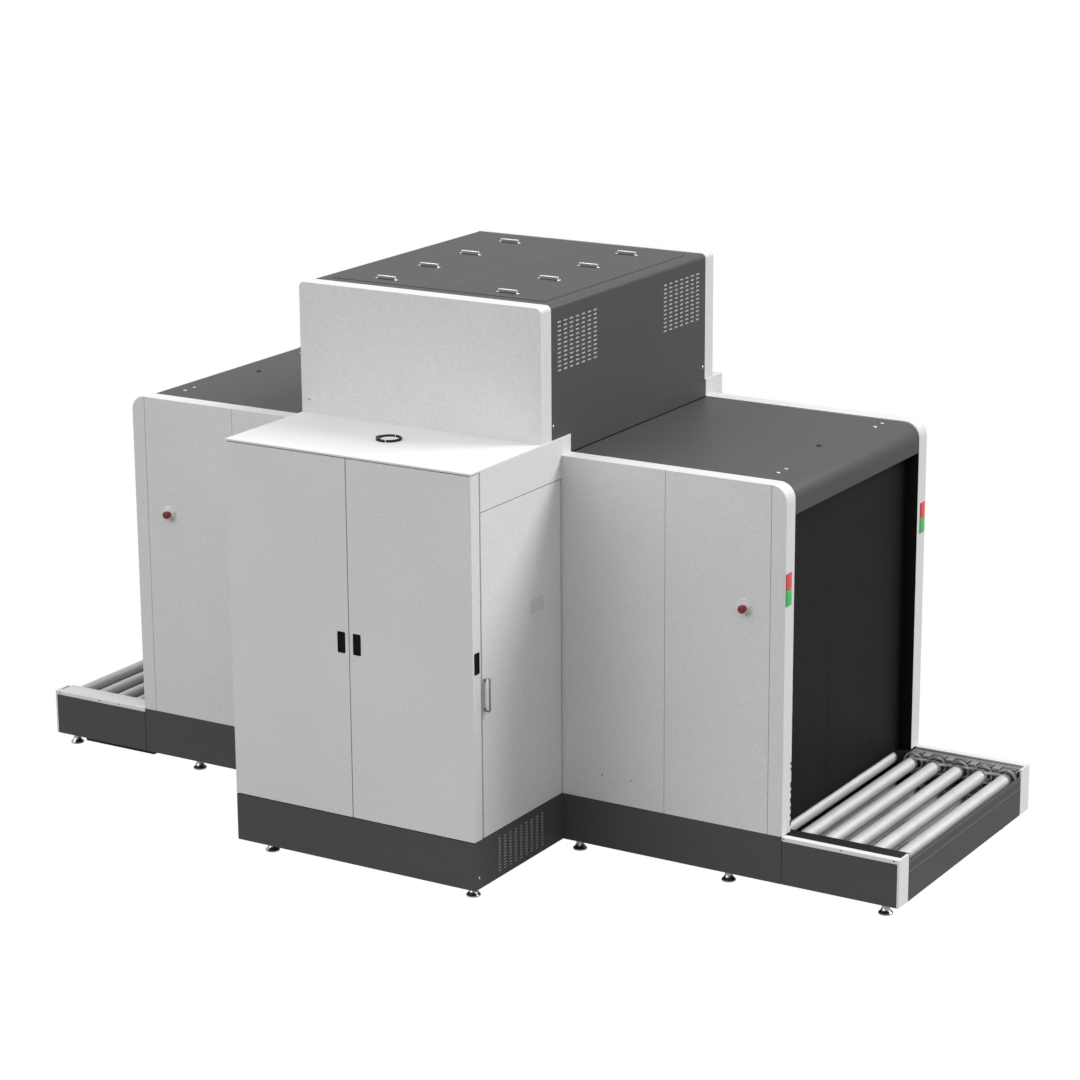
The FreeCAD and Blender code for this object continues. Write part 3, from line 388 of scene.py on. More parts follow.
def make_materials():
    """Every finish of the machine, by the name of the record's slot or of the small part."""
    paint = colours()
    return {
        "grey_coat": coat("panel coat", paint.panel, 0.16, 0.26),
        "white_coat": coat("edge coat", paint.edge, 0.08, 0.12),
        "dark_coat": coat("roof coat", paint.dark, 0.22, 0.34, dust=0.03, reach=0.1),
        "skirt_coat": coat("skirt coat", paint.skirt, 0.14, 0.18, dust=0.05, reach=0.45),
        "rail_metal": coat("rail coat", paint.edge, 0.05, 0.05),
        "roller_metal": metal("zinc plated roller", (0.56, 0.56, 0.56), 0.50, ALONG_ROLLER, metallic=0.30),
        "pan_metal": metal("bright pan", (0.27, 0.27, 0.27), 0.14, ALONG_TABLE),
        "chain_metal": metal("oiled chain", (0.80, 0.80, 0.80), 0.22, ALL_WAYS),
        "foot_metal": metal("plated foot", (0.66, 0.66, 0.66), 0.20, ALL_WAYS),
        "lead_rubber": moulded("curtain rubber", paint.rubber, 300.0, 0.0005, wear=0.06, specular=0.14),
        "black_plastic": moulded("black plastic", (0.012, 0.012, 0.012), 700.0),
        # near-black: the pull cups' black plastic darkened further as painted shade of their recess; also
        # the painted shade in the panel seam grooves and under the collar
        "pull_cup": moulded("pull cup plastic and painted seam shade", (0.003, 0.003, 0.003), 700.0, specular=0.12),
        "pull_paddle": moulded("pull paddle plastic", (0.075, 0.075, 0.075), 700.0),
        "drive_plate": metal("bright drive plate", (0.40, 0.40, 0.40), 0.18, ALL_WAYS),
        "red_lens": lens("red lens", paint.red, 0.25),
        "green_lens": lens("green lens", paint.green, 0.25),
        "stop_red": moulded("stop button red", paint.stop, 900.0, 0.0001, coat_weight=0.6),
        "stop_plate": moulded("stop button plate", (0.70, 0.70, 0.69), 900.0, 0.0001, coat_weight=0.2),
        "handle_metal": metal("bright handle", (0.92, 0.92, 0.92), 0.20, ALL_WAYS, metallic=0.80),
        # the dark bar and its white front strip are a shaded and a lit copy of one bar: painted shade and
        # painted highlight
        "bar_painted_shade": moulded("handle bar, painted shade", (0.20, 0.20, 0.20), 700.0),
        "bar_painted_highlight": moulded("handle bar, painted highlight", (0.96, 0.96, 0.96), 700.0),
        # pale strips for the lid joins, and a painted highlight along the drive guard's top edge
        "lid_seam": coat("pale seam and painted edge highlight coat", (0.13, 0.13, 0.13), 0.1, 0.1),
        # pale sheets behind the grille slots: painted highlight in place of the lit slot lips
        "plinth_slot_highlight_backing": coat("plinth slot_highlight_backing", (0.85, 0.85, 0.85), 0.3, 0.3),
        "slot_highlight_backing": coat("slot_highlight_backing behind slots", (0.50, 0.50, 0.50), 0.3, 0.3),
    }


def finish(slot):
    """A finish by its slot's name."""
    if not FINISHES:
        FINISHES.update(make_materials())
    return FINISHES[slot]


FINISHES = {}


def piece(name, mesh, slot, body=MACHINE, replaces=(), smooth=True):
    """Turn a finished bmesh into a piece that rides on a body."""
    bmesh.ops.recalc_face_normals(mesh, faces=mesh.faces)
    data = bpy.data.meshes.new(name)
    mesh.to_mesh(data)
    mesh.free()
    made = bpy.data.objects.new(name, data)
    bpy.context.scene.collection.objects.link(made)
    data.materials.append(finish(slot))
    if smooth:
        data.shade_smooth()
        data.set_sharp_from_angle(angle=math.radians(38))
    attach(made, body)
    if replaces:
        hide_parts(*replaces)
    return made


def block(mesh, low, high, rounding=0.0, steps=2):
    """A block between two corners, with rounded edges where asked."""
    low, high = Vector(low), Vector(high)
    middle, span = (low + high) / 2, high - low
    added = bmesh.ops.create_cube(mesh, size=1.0)["verts"]
    for vertex in added:
        vertex.co = Vector(middle[axis] + vertex.co[axis] * span[axis] for axis in range(3))
    if rounding:
        edges = list({edge for vertex in added for edge in vertex.link_edges})
        bmesh.ops.bevel(mesh, geom=edges, offset=rounding, segments=steps, profile=0.5, affect="EDGES")


def facing(centre, direction):
    """A placing matrix whose local Z points along a direction."""
    turn = Vector(direction).to_track_quat("Z", "Y").to_matrix().to_4x4()
    return Matrix.Translation(Vector(centre)) @ turn


def join_rings(mesh, lower, upper):
    """Faces between two rings of vertices; a ring of one vertex is a tip."""
    steps = max(len(lower), len(upper))
    for index in range(steps):
        following = (index + 1) % steps
        around = [lower[index % len(lower)], lower[following % len(lower)],
                  upper[following % len(upper)], upper[index % len(upper)]]
        unique = list(dict.fromkeys(around))
        if len(unique) > 2:
            mesh.faces.new(unique)


def lathe(mesh, profile, place, steps=32):
    """Turn a profile of (along, radius) about the local Z of a placing matrix."""
    rings = []
    for along, radius in profile:
        if radius < 1e-6:
            rings.append([mesh.verts.new(place @ Vector((0, 0, along)))])
            continue
        ring = []
        for index in range(steps):
            angle = math.tau * index / steps
            ring.append(mesh.verts.new(place @ Vector((radius * math.cos(angle),
                                                       radius * math.sin(angle), along))))
        rings.append(ring)
    for lower, upper in zip(rings, rings[1:]):
        join_rings(mesh, lower, upper)
    for ring in (rings[0], rings[-1]):
        if len(ring) > 1:
            mesh.faces.new(ring)


def rounded_loop(wide, high, radius, along, place, steps=5):
    """Points of a rectangle with rounded corners at one depth."""
    points = []
    for sign_x, sign_y, start in ((1, 1, 0), (-1, 1, 90), (-1, -1, 180), (1, -1, 270)):
        centre = Vector((sign_x * (wide / 2 - radius), sign_y * (high / 2 - radius), along))
        for index in range(steps + 1):
            angle = math.radians(start + 90 * index / steps)
            points.append(place @ (centre + Vector((radius * math.cos(angle),
                                                    radius * math.sin(angle), 0))))
    return points


def loft(mesh, loops):
    """Join loops of points one after the other and close both ends."""
    rings = [[mesh.verts.new(point) for point in loop] for loop in loops]
    for lower, upper in zip(rings, rings[1:]):
        join_rings(mesh, lower, upper)
    mesh.faces.new(rings[0])
    mesh.faces.new(rings[-1])


def tile_points(half_wide, half_high):
    """Sixteen points round a tile's edge, which meet those of its neighbours."""
    right = [(1, -0.5), (1, 0), (1, 0.5), (1, 1)]
    top = [(0.5, 1), (0, 1), (-0.5, 1), (-1, 1)]
    half = right + top
    whole = half + [(-x, -y) for x, y in half]
    return [(x * half_wide, y * half_high) for x, y in whole]


def slot_points(half_long, radius):
    """Sixteen points round a slot with half-round ends, in step with the tile's."""
    points = []
    for index in range(16):
        angle = math.radians(22.5 * (index - 1))
        across = math.cos(angle)
        shift = 0.0 if abs(across) < 1e-6 else math.copysign(half_long - radius, across)
        points.append((shift + radius * across, radius * math.sin(angle)))
    return points


def slotted_plate(mesh, place, wide, high, columns, rows, slot_long, slot_high, thick):
    """A sheet with rows of through slots; local XY is its face and Z points outwards."""
    pitch_x, pitch_y = wide / columns, high / rows
    edge, hole = tile_points(pitch_x / 2, pitch_y / 2), slot_points(slot_long / 2, slot_high / 2)
    sheet = bmesh.new()
    for column in range(columns):
        for row in range(rows):
            middle = Vector(((column + 0.5) * pitch_x - wide / 2, (row + 0.5) * pitch_y - high / 2, 0))
            outer = [sheet.verts.new(middle + Vector((x, y, 0))) for x, y in edge]
            inner = [sheet.verts.new(middle + Vector((x, y, 0))) for x, y in hole]
            join_rings(sheet, inner, outer)
    bmesh.ops.remove_doubles(sheet, verts=sheet.verts, dist=1e-6)
    bmesh.ops.recalc_face_normals(sheet, faces=sheet.faces)
    if sheet.faces[:][0].normal.z > 0:
        bmesh.ops.reverse_faces(sheet, faces=sheet.faces)
    bmesh.ops.solidify(sheet, geom=sheet.faces[:], thickness=-thick)
    outside = max(vertex.co.z for vertex in sheet.verts)
    for vertex in sheet.verts:
        vertex.co.z -= outside if outside > 1e-7 else 0.0
    bmesh.ops.transform(sheet, matrix=place, verts=sheet.verts)
    copy_into(mesh, sheet)


def copy_into(mesh, other):
    """Add another bmesh's faces and free it."""
    other.verts.index_update()
    made = [mesh.verts.new(vertex.co) for vertex in other.verts]
    for face in other.faces:
        mesh.faces.new([made[vertex.index] for vertex in face.verts])
    other.free()


def screw(mesh, centre, direction, radius, steps=20):
    """A flat-domed screw head with a six-sided socket."""
    place = facing(centre, direction)
    lathe(mesh, [(-0.2 * radius, radius), (0.12 * radius, radius), (0.34 * radius, 0.82 * radius),
                 (0.44 * radius, 0.58 * radius), (0.44 * radius, 0.48 * radius)], place, steps)
    lathe(mesh, [(0.441 * radius, 0.46 * radius), (0.12 * radius, 0.44 * radius), (0.12 * radius, 0.0)],
          place, 6)


def slot_map():
    """The material slot of every node, as the record gives it."""
    return {row["node"]: row["material_slot"] for row in frame["record"]["subparts"]}


SOFT_EDGED = ("front_panels", "rear_panels", "hood_roofs", "tunnel_walls", "beam_housing", "rear_cover",
              "plinths", "cabinet_headers", "cabinet_top", "front_door_right", "front_door_left",
              "side_door_right", "side_door_left", "upper_panels", "upper_cover", "roof_lids",
              "side_skirts", "table_rails", "end_skirts", "drive_guard")


class SCANNER_OT_finishes(bpy.types.Operator):
    """Give every node of the frame its finish, and round the folded edges of the sheet metal"""

    bl_idname = "scanner.finishes"
    bl_label = "Finishes"

    def execute(self, context):
        for node, slot in slot_map().items():
            made = frame["nodes"][node]
            if not made.material_slots:
                raise RuntimeError(f"{node} has no material slot")
            for place in made.material_slots:
                place.link = "OBJECT"
                place.material = finish(slot)
        for node in SOFT_EDGED:
            made = frame["nodes"][node]
            weld = made.modifiers.new("weld", "WELD")
            weld.merge_threshold = 0.00001
            rounding = made.modifiers.new("folded edges", "BEVEL")
            rounding.width = sizes().edge_round
            rounding.segments = 3
            rounding.limit_method = "ANGLE"
            rounding.angle_limit = math.radians(50)
            rounding.use_clamp_overlap = True
            rounding.harden_normals = False
        return {"FINISHED"}


GRILLE_WIDE, SHEET_THICK = 0.450, 0.0025
UPPER_SLOT, PLINTH_SLOT = (0.045, 0.0105), (0.030, 0.0052)
BACKING_FRONT, BACKING_BACK = 0.0028, 0.0050


class SCANNER_OT_grilles(bpy.types.Operator):
    """Slotted ventilation grilles of the upper housing and the plinth, with a pale sheet behind whose light
    tone in the slots is painted highlight in place of lit slot lips
    """

    bl_idname = "scanner.grilles"
    bl_label = "Grilles"

    def execute(self, context):
        low, high = corners("upper_grilles")
        rows = [low.y + GRILLE_WIDE / 2, high.y - GRILLE_WIDE / 2]
        self.plates("upper_grille", rows, (low.z + high.z) / 2, GRILLE_WIDE, high.z - low.z, high.x,
                    (sizes().slot_columns, sizes().slot_rows), UPPER_SLOT, "dark_coat", "upper_grilles")
        low, high = corners("plinth_grilles")
        self.plates("plinth_grille", [(low.y + high.y) / 2], (low.z + high.z) / 2, high.y - low.y,
                    high.z - low.z, high.x, (sizes().plinth_columns, sizes().plinth_rows),
                    PLINTH_SLOT, "skirt_coat", "plinth_grilles")
        return {"FINISHED"}

    def plates(self, name, rows, middle_z, wide, high, face_x, counts, slot, finish_slot, node):
        sheet, backing = bmesh.new(), bmesh.new()
        for _, sign in SIDES:
            for y in rows:
                place = Matrix.Translation((sign * face_x, y, middle_z)) @ Matrix(
                    ((0, 0, sign, 0), (sign, 0, 0, 0), (0, 1, 0, 0), (0, 0, 0, 1)))
                slotted_plate(sheet, place, wide, high, *counts, *slot, SHEET_THICK)
                # pale sheet just behind the slots, so that they read light: painted highlight
                near, far = sign * (face_x - BACKING_FRONT), sign * (face_x - BACKING_BACK)
                block(backing, (min(near, far), y - wide / 2 + 0.002, middle_z - high / 2 + 0.002),
                      (max(near, far), y + wide / 2 - 0.002, middle_z + high / 2 - 0.002), 0.0005, 1)
        piece(f"{name}_sheets", sheet, finish_slot, replaces=(node,), smooth=False)
        shade = "plinth_slot_highlight_backing" if node == "plinth_grilles" else "slot_highlight_backing"
        piece(f"{name}_slot_highlight_backings", backing, shade, smooth=False)


CHAIN_LANES = (0.6795, 0.7035)
OUTER_LINK, INNER_LINK, LINK_THICK = 0.0064, 0.0049, 0.0013
PIN_HALF, PIN_RADIUS = 0.0078, 0.0019
BUSH_HALF, BUSH_RADIUS = 0.0041, 0.0039
SPROCKET_TEETH = 15


def chain_pins(near, far, height, pitch):
    """Pins of one loop round two sprockets, in order, as (x, z) and evenly spaced."""
    radius = pitch / 2 / math.sin(math.pi / SPROCKET_TEETH)
    run = abs(near - far)
    length = 2 * run + math.tau * radius
    count = 2 * round(length / pitch / 2)
    pins = []
    for index in range(count):
        along = length * index / count
        if along < run:
            pins.append((min(near, far) + along, height + radius))
        elif along < run + math.pi * radius:
            angle = math.pi / 2 - (along - run) / radius
            pins.append((max(near, far) + radius * math.cos(angle), height + radius * math.sin(angle)))
        elif along < 2 * run + math.pi * radius:
            pins.append((max(near, far) - (along - run - math.pi * radius), height - radius))
        else:
            angle = -math.pi / 2 - (along - 2 * run - math.pi * radius) / radius
            pins.append((min(near, far) + radius * math.cos(angle), height + radius * math.sin(angle)))
    return pins


def link_pair(mesh, index, start, end, y):
    """The two plates of one link; every other pair lies inside its neighbours."""
    offset = INNER_LINK if index % 2 else OUTER_LINK
    for side in (-1, 1):
        link_plate(mesh, start, end, y + side * offset, LINK_THICK)


def link_plate(mesh, start, end, y, thick):
    """One waisted link plate between two pins."""
    start, end = Vector((start[0], y, start[1])), Vector((end[0], y, end[1]))
    along = (end - start).normalized()
    across = Vector((-along.z, 0, along.x))
    radius, waist = 0.0056, 0.0044
    outline = []
    for centre, base in ((end, 0), (start, math.pi)):
        for step in range(5):
            angle = base - math.pi / 2 + math.pi * step / 4
            outline.append(centre + radius * (math.cos(angle) * along + math.sin(angle) * across))
        side = 1 if base == 0 else -1
        outline.append((start + end) / 2 + side * waist * across)
    faces = []
    for offset in (-thick / 2, thick / 2):
        faces.append([mesh.verts.new(point + Vector((0, offset, 0))) for point in outline])
    join_rings(mesh, faces[0], faces[1])
    mesh.faces.new(faces[0])
    mesh.faces.new(faces[1])


class SCANNER_OT_chains(bpy.types.Operator):
    """Roller chains link by link, from roller to roller in two lanes"""

    bl_idname = "scanner.chains"
    bl_label = "Chains"

    def execute(self, context):
        mesh = bmesh.new()
        pitch = sizes().chain_pitch
        for side, _ in SIDES:
            places = []
            for index in range(1, 6):
                low, high = corners(f"roller_{side}_{index}")
                places.append(((low.x + high.x) / 2, (low.z + high.z) / 2))
            for index in range(4):
                y = MIDDLE_Y + CHAIN_LANES[index % 2]
                pins = chain_pins(places[index][0], places[index + 1][0], places[0][1], pitch)
                self.loop(mesh, pins, y)
        piece("chain_links", mesh, "chain_metal", replaces=("roller_chains",))
        return {"FINISHED"}

    def loop(self, mesh, pins, y):
        for index, start in enumerate(pins):
            link_pair(mesh, index, start, pins[(index + 1) % len(pins)], y)
            place = facing((start[0], y, start[1]), (0, 1, 0))
            lathe(mesh, [(-PIN_HALF, PIN_RADIUS), (PIN_HALF, PIN_RADIUS)], place, 8)
            lathe(mesh, [(-BUSH_HALF, BUSH_RADIUS), (BUSH_HALF, BUSH_RADIUS)], place, 10)


class SCANNER_OT_rollers(bpy.types.Operator):
    """Bearing caps on the rollers' ends"""

    bl_idname = "scanner.rollers"
    bl_label = "Rollers"

    def execute(self, context):
        for side, _ in SIDES:
            for index in range(1, 6):
                name = f"roller_{side}_{index}"
                low, high = corners(name)
                centre = Vector(((low.x + high.x) / 2, low.y, (low.z + high.z) / 2))
                radius = (high.z - low.z) / 2
                mesh = bmesh.new()
                lathe(mesh, [(-0.001, radius * 0.93), (0.0015, radius * 0.93), (0.0025, radius * 0.88),
                             (0.0025, radius * 0.70), (0.0008, radius * 0.64), (0.0008, 0.0135),
                             (-0.001, 0.0135)],
                      facing(centre, (0, -1, 0)), 36)
                piece(f"bearing_cap_{side}_{index}", mesh, "black_plastic", body=name)
        return {"FINISHED"}


CLAMP_HALF, CLAMP_HIGH, CLAMP_SCREWS = 0.009, 0.050, 16
CURTAIN_EDGE, LAYER_OFFSET = 0.005, 0.0036
STRIPS, STRIP_GAP, STRIP_HEM = 8, 0.0008, 0.045


class SCANNER_OT_curtains(bpy.types.Operator):
    """Lead-rubber curtains: two layers of overlapping strips hung from a clamp"""

    bl_idname = "scanner.curtains"
    bl_label = "Curtains"

    def execute(self, context):
        for side, sign in SIDES:
            node = f"curtain_{side}"
            low, high = corners(node)
            middle_x = (low.x + high.x) / 2
            clamp = bmesh.new()
            block(clamp, (middle_x - CLAMP_HALF, low.y + CURTAIN_EDGE, high.z - CLAMP_HIGH),
                  (middle_x + CLAMP_HALF, high.y - CURTAIN_EDGE, high.z), 0.002)
            for index in range(CLAMP_SCREWS):
                y = low.y + (index + 0.5) * (high.y - low.y) / CLAMP_SCREWS
                for face in (-1, 1):
                    screw(clamp, (middle_x + face * CLAMP_HALF, y, high.z - CLAMP_HIGH / 2), (face, 0, 0),
                          0.007, 12)
            bar = piece(f"curtain_clamp_{side}", clamp, "black_plastic", body=node, replaces=(node,))
            inside = low.y + CURTAIN_EDGE, high.y - CURTAIN_EDGE
            for shift, (layer, way) in enumerate((("outer", 1), ("inner", -1))):
                x = middle_x + way * sign * LAYER_OFFSET
                self.layer(f"curtain_{layer}_{side}", x, inside, low.z, high.z, shift, bar, node)
        return {"FINISHED"}

    def layer(self, name, x, inside, bottom, top, shift, bar, body):
        """One layer of strips; every other layer is moved by half a strip to cover the slits."""
        start, end = inside
        pitch = (end - start) / STRIPS
        edges = [start + index * pitch for index in range(STRIPS + 1)]
        if shift:
            edges = [start] + [edge + pitch / 2 for edge in edges[:-1]] + [end]
        mesh = bmesh.new()
        for index, (near, far) in enumerate(zip(edges, edges[1:])):
            low_y, high_y = near + STRIP_GAP / 2, far - STRIP_GAP / 2
            self.strip(mesh, x, low_y, high_y, bottom, top - STRIP_HEM, index + shift * 3)
        made = piece(name, mesh, "lead_rubber", body=body)

    def strip(self, mesh, x, low_y, high_y, bottom, top, seed):
        """A hanging strip, a little bowed and curled at its free end."""
        across, down, thick = 6, 22, sizes().strip_thick
        lean = 0.0006 * math.sin(2.3 * seed + 0.7)
        bow = 0.0003 * math.cos(1.7 * seed)
        faces = []
        for side in (-0.5, 0.5):
            grid = []
            for row in range(down + 1):
                fall = 1 - row / down
                z = bottom + (top - bottom) * row / down
                line = []
                for column in range(across + 1):
                    share = column / across
                    push = lean * fall ** 2 + bow * fall * math.sin(math.pi * share)
                    y = low_y + (high_y - low_y) * share
                    line.append(mesh.verts.new((x + push + side * thick, y, z)))
                grid.append(line)
            faces.append(grid)
            for lower, upper in zip(grid, grid[1:]):
                for column in range(across):
                    mesh.faces.new((lower[column], lower[column + 1], upper[column + 1], upper[column]))
        front, back = faces
        rim = [self.rim(grid) for grid in (front, back)]
        join_rings(mesh, rim[0], rim[1])

    def rim(self, grid):
        """Vertices round the edge of a strip's face, in order."""
        right = [line[-1] for line in grid]
        left = [line[0] for line in reversed(grid)]
        return grid[0][:-1] + right[:-1] + list(reversed(grid[-1]))[:-1] + left[:-1]


PULL_WIDE, PULL_HIGH = 0.048, 0.118


def door_pull(cup, place, paddle=None):
    """A recessed pull: rounded bezel and cup, and a sprung paddle where there is one."""
    shapes = [(3, 3, 8, -1.0), (3, 3, 8, 1.0), (1, 1, 7, 2.2), (-5, -5, 5, 2.2), (-7, -7, 4, 0.6),
              (-9, -9, 4, -17.0)]
    loft(cup, [rounded_loop(PULL_WIDE + wide * MM, PULL_HIGH + high * MM, radius * MM, along * MM, place)
               for wide, high, radius, along in shapes])
    if paddle is None:
        return
    lever = [(0.0, -16.0), (0.0, -5.0), (-1.0, -3.4), (-3.0, -2.8)]
    shift = place @ Matrix.Translation((0.011, 0, 0))
    loft(paddle, [rounded_loop(0.014 + wide * MM, 0.100 + wide * MM, 0.003, along * MM, shift)
                  for wide, along in lever])


class SCANNER_OT_door_pulls(bpy.types.Operator):
    """Recessed pulls in the front and the flank of the cabinet's doors"""

    bl_idname = "scanner.door_pulls"
    bl_label = "Door pulls"

    def execute(self, context):
        for side, sign in SIDES:
            low, high = corners(f"door_pulls_{side}")
            inner = low.x if sign > 0 else high.x
            middle_z = (low.z + high.z) / 2
            cup, paddle = bmesh.new(), bmesh.new()
            front = Matrix(((1, 0, 0, inner + sign * PULL_WIDE / 2), (0, 0, -1, low.y),
                            (0, 1, 0, middle_z), (0, 0, 0, 1)))
            flank = Matrix(((0, 0, sign, sign * BODY_HALF), (sign, 0, 0, high.y - PULL_WIDE / 2),
                            (0, 1, 0, middle_z), (0, 0, 0, 1)))
            door_pull(cup, front, paddle)
            door_pull(cup, flank)
            body = f"front_door_{side}"
            # near-black cups: black plastic plus painted shade of the recess
            piece(f"pull_cups_{side}", cup, "pull_cup", body=body, replaces=(f"door_pulls_{side}",))
            piece(f"pull_paddles_{side}", paddle, "pull_paddle", body=body)
        return {"FINISHED"}


def span_block(mesh, xs, ys, zs, rounding):
    """A soft-edged bar between two planes each way, given in any order."""
    lows, highs = zip(*(sorted(pair) for pair in (xs, ys, zs)))
    block(mesh, lows, highs, rounding)


SOLID_BAIL = 0.180
BAR_THICK, BAR_FOOT = 0.015, 0.010


class SCANNER_OT_handles(bpy.types.Operator):
    """Flat bar handles of the side doors, dark grey as painted shade with a white front strip as painted
    highlight, and the low bail handles of the roof lids over black pads of painted shadow
    """

    bl_idname = "scanner.handles"
    bl_label = "Handles"

    def execute(self, context):
        for side, sign in SIDES:
            low, high = corners(f"side_handle_{side}")
            outer = high.x if sign > 0 else low.x
            bar, face = bmesh.new(), bmesh.new()
            span_block(bar, (outer, outer - sign * BAR_THICK), (low.y + 0.002, high.y + 0.008),
                       (low.z, high.z), 0.002)
            for z in (low.z + BAR_FOOT, high.z - BAR_FOOT):
                span_block(bar, (outer - sign * 0.012, sign * BODY_HALF), (low.y + 0.004, high.y),
                           (z - 0.009, z + 0.009), 0.002)
            # white strip on the bar's front: painted highlight; the dark grey bar behind it is painted
            # shade
            span_block(face, (outer - sign * 0.0005, outer - sign * 0.0145), (low.y, low.y + 0.0035),
                       (low.z + 0.012, high.z), 0.0012)
            door = f"side_door_{side}"
            piece(f"shade_painted_pull_bars_{side}", bar, "bar_painted_shade", body=door, replaces=(f"side_handle_{side}",))
            piece(f"pull_bar_painted_highlights_{side}", face, "bar_painted_highlight", body=door)
        low, high = corners("lid_handles")
        bails, shadow_pads = bmesh.new(), bmesh.new()
        for x in (low.x + SOLID_BAIL / 2, high.x - SOLID_BAIL / 2):
            for row in range(4):
                self.bail(bails, shadow_pads, x, low.y + 0.011 + row * (high.y - low.y - 0.022) / 3, low.z)
        piece("lid_bails", bails, "handle_metal", replaces=("lid_handles",))
        # the black pads under the bails are painted shadow
        piece("bail_shadow_pads", shadow_pads, "black_plastic")
        return {"FINISHED"}

    def bail(self, bails, shadow_pads, x, y, base):
        """A low bow of flat bar on two screwed feet, over a black pad that is painted shadow."""
        half, tall, thick = 0.060, 0.020, 0.005
        span_block(bails, (x - half, x + half), (y - 0.008, y + 0.008),
                   (base + tall - thick, base + tall), 0.0022)
        for way in (-1, 1):
            span_block(bails, (x + way * half, x + way * (half - thick)), (y - 0.008, y + 0.008),
                       (base, base + tall - 0.001), 0.0018)
            span_block(bails, (x + way * (half - 0.002), x + way * (half + 0.014)), (y - 0.009, y + 0.009),
                       (base, base + 0.0022), 0.0008)
            screw(bails, (x + way * (half + 0.007), y, base + 0.0022), (0, 0, 1), 0.004, 10)
        # black pad under the bow, reaching further to the front: painted shadow of the bail
        span_block(shadow_pads, (x - half + thick, x + half - thick), (y - 0.012, y + 0.006),
                   (base, base + 0.0012), 0.0005)


class SCANNER_OT_stop_buttons(bpy.types.Operator):
    """Mushroom stop buttons on round plates"""

    bl_idname = "scanner.stop_buttons"
    bl_label = "Stop buttons"

    def execute(self, context):
        base, collar, ticks = bmesh.new(), bmesh.new(), bmesh.new()
        for side, _ in SIDES:
            low, high = corners(f"stop_head_{side}")
            centre = Vector(((low.x + high.x) / 2, PANEL_LOW.y, (low.z + high.z) / 2))
            place = facing(centre, (0, -1, 0))
            lathe(base, [(0, 0.050), (0.0024, 0.050), (0.0038, 0.0485), (0.0040, 0.030), (0.0046, 0.029),
                         (0.0046, 0.0205)], place, 48)
            lathe(collar, [(0.004, 0.0165), (0.012, 0.0165), (0.0132, 0.0152), (0.0138, 0.0152),
                           (0.015, 0.0165), (0.0185, 0.0165), (0.020, 0.015), (0.020, 0.009)], place, 48)
            for turn in range(-65, 16, 20):
                out = Vector((math.cos(math.radians(turn)), 0, math.sin(math.radians(turn))))
                mark = centre + out * 0.041
                block(ticks, mark - Vector((0.0028, 0.0048, 0.0028)),
                      mark + Vector((0.0028, -0.0030, 0.0028)), 0.0006)
            head = bmesh.new()
            lathe(head, [(0.006, 0.0086), (0.0200, 0.0086), (0.0200, 0.0200), (0.0215, 0.0220),
                         (0.0275, 0.0232), (0.0330, 0.0230), (0.0368, 0.0217), (0.0394, 0.0187),
                         (0.0407, 0.0145), (0.0404, 0.0098), (0.0400, 0.0)], place, 48)
            piece(f"stop_mushroom_{side}", head, "stop_red", body=f"stop_head_{side}",
                  replaces=(f"stop_head_{side}",))
        piece("stop_plates", base, "stop_plate", replaces=("stop_bases",))
        piece("stop_collars", collar, "stop_red")
        piece("stop_marks", ticks, "black_plastic")
        return {"FINISHED"}


LAMP_WIDE = 0.062


class SCANNER_OT_lamps(bpy.types.Operator):
    """Domed red and green signal lenses in a thin bezel on the panels' ends"""

    bl_idname = "scanner.lamps"
    bl_label = "Signal lamps"

    def execute(self, context):
        bezel = bmesh.new()
        for colour in ("red", "green"):
            low, high = corners(f"{colour}_lamps")
            mesh = bmesh.new()
            for _, sign in SIDES:
                for y in (low.y + LAMP_WIDE / 2, high.y - LAMP_WIDE / 2):
                    self.dome(mesh, sign, y, LAMP_WIDE, low.z, high.z)
            piece(f"{colour}_lenses", mesh, f"{colour}_lens", replaces=(f"{colour}_lamps",))
        low, high = corners("green_lamps")[0], corners("red_lamps")[1]
        for _, sign in SIDES:
            for y in (low.y + LAMP_WIDE / 2, high.y - LAMP_WIDE / 2):
                place = Matrix.Translation((sign * PANEL_HIGH.x, y, (low.z + high.z) / 2)) @ Matrix(
                    ((0, 0, sign, 0), (sign, 0, 0, 0), (0, 1, 0, 0), (0, 0, 0, 1)))
                tall = high.z - low.z
                loft(bezel, [rounded_loop(0.066, tall + 0.004, 0.004, 0.0, place),
                             rounded_loop(0.066, tall + 0.004, 0.004, 0.0012, place),
                             rounded_loop(0.064, tall + 0.002, 0.003, 0.0016, place)])
        piece("lamp_bezels", bezel, "black_plastic")
        return {"FINISHED"}

    def dome(self, mesh, sign, middle_y, wide, low_z, high_z):
        """One lens, bowed across its width and tapered at its ends."""
        loops = []
        for share in (0.0, 0.02, 0.06, 0.94, 0.98, 1.0):
            z = low_z + (high_z - low_z) * share
            fade = {0.0: 0.35, 0.02: 0.8, 0.98: 0.8, 1.0: 0.35}.get(share, 1.0)
            loop = []
            for step in range(13):
                across = -1 + 2 * step / 12
                out = 0.0012 + 0.0068 * fade * math.sqrt(max(0.0, 1 - across * across * 0.92))
                loop.append(Vector((sign * (PANEL_HIGH.x + out), middle_y + across * wide / 2, z)))
            loop.append(Vector((sign * PANEL_HIGH.x, middle_y + wide / 2, z)))
            loop.append(Vector((sign * PANEL_HIGH.x, middle_y - wide / 2, z)))
            loops.append(loop)
        loft(mesh, loops)


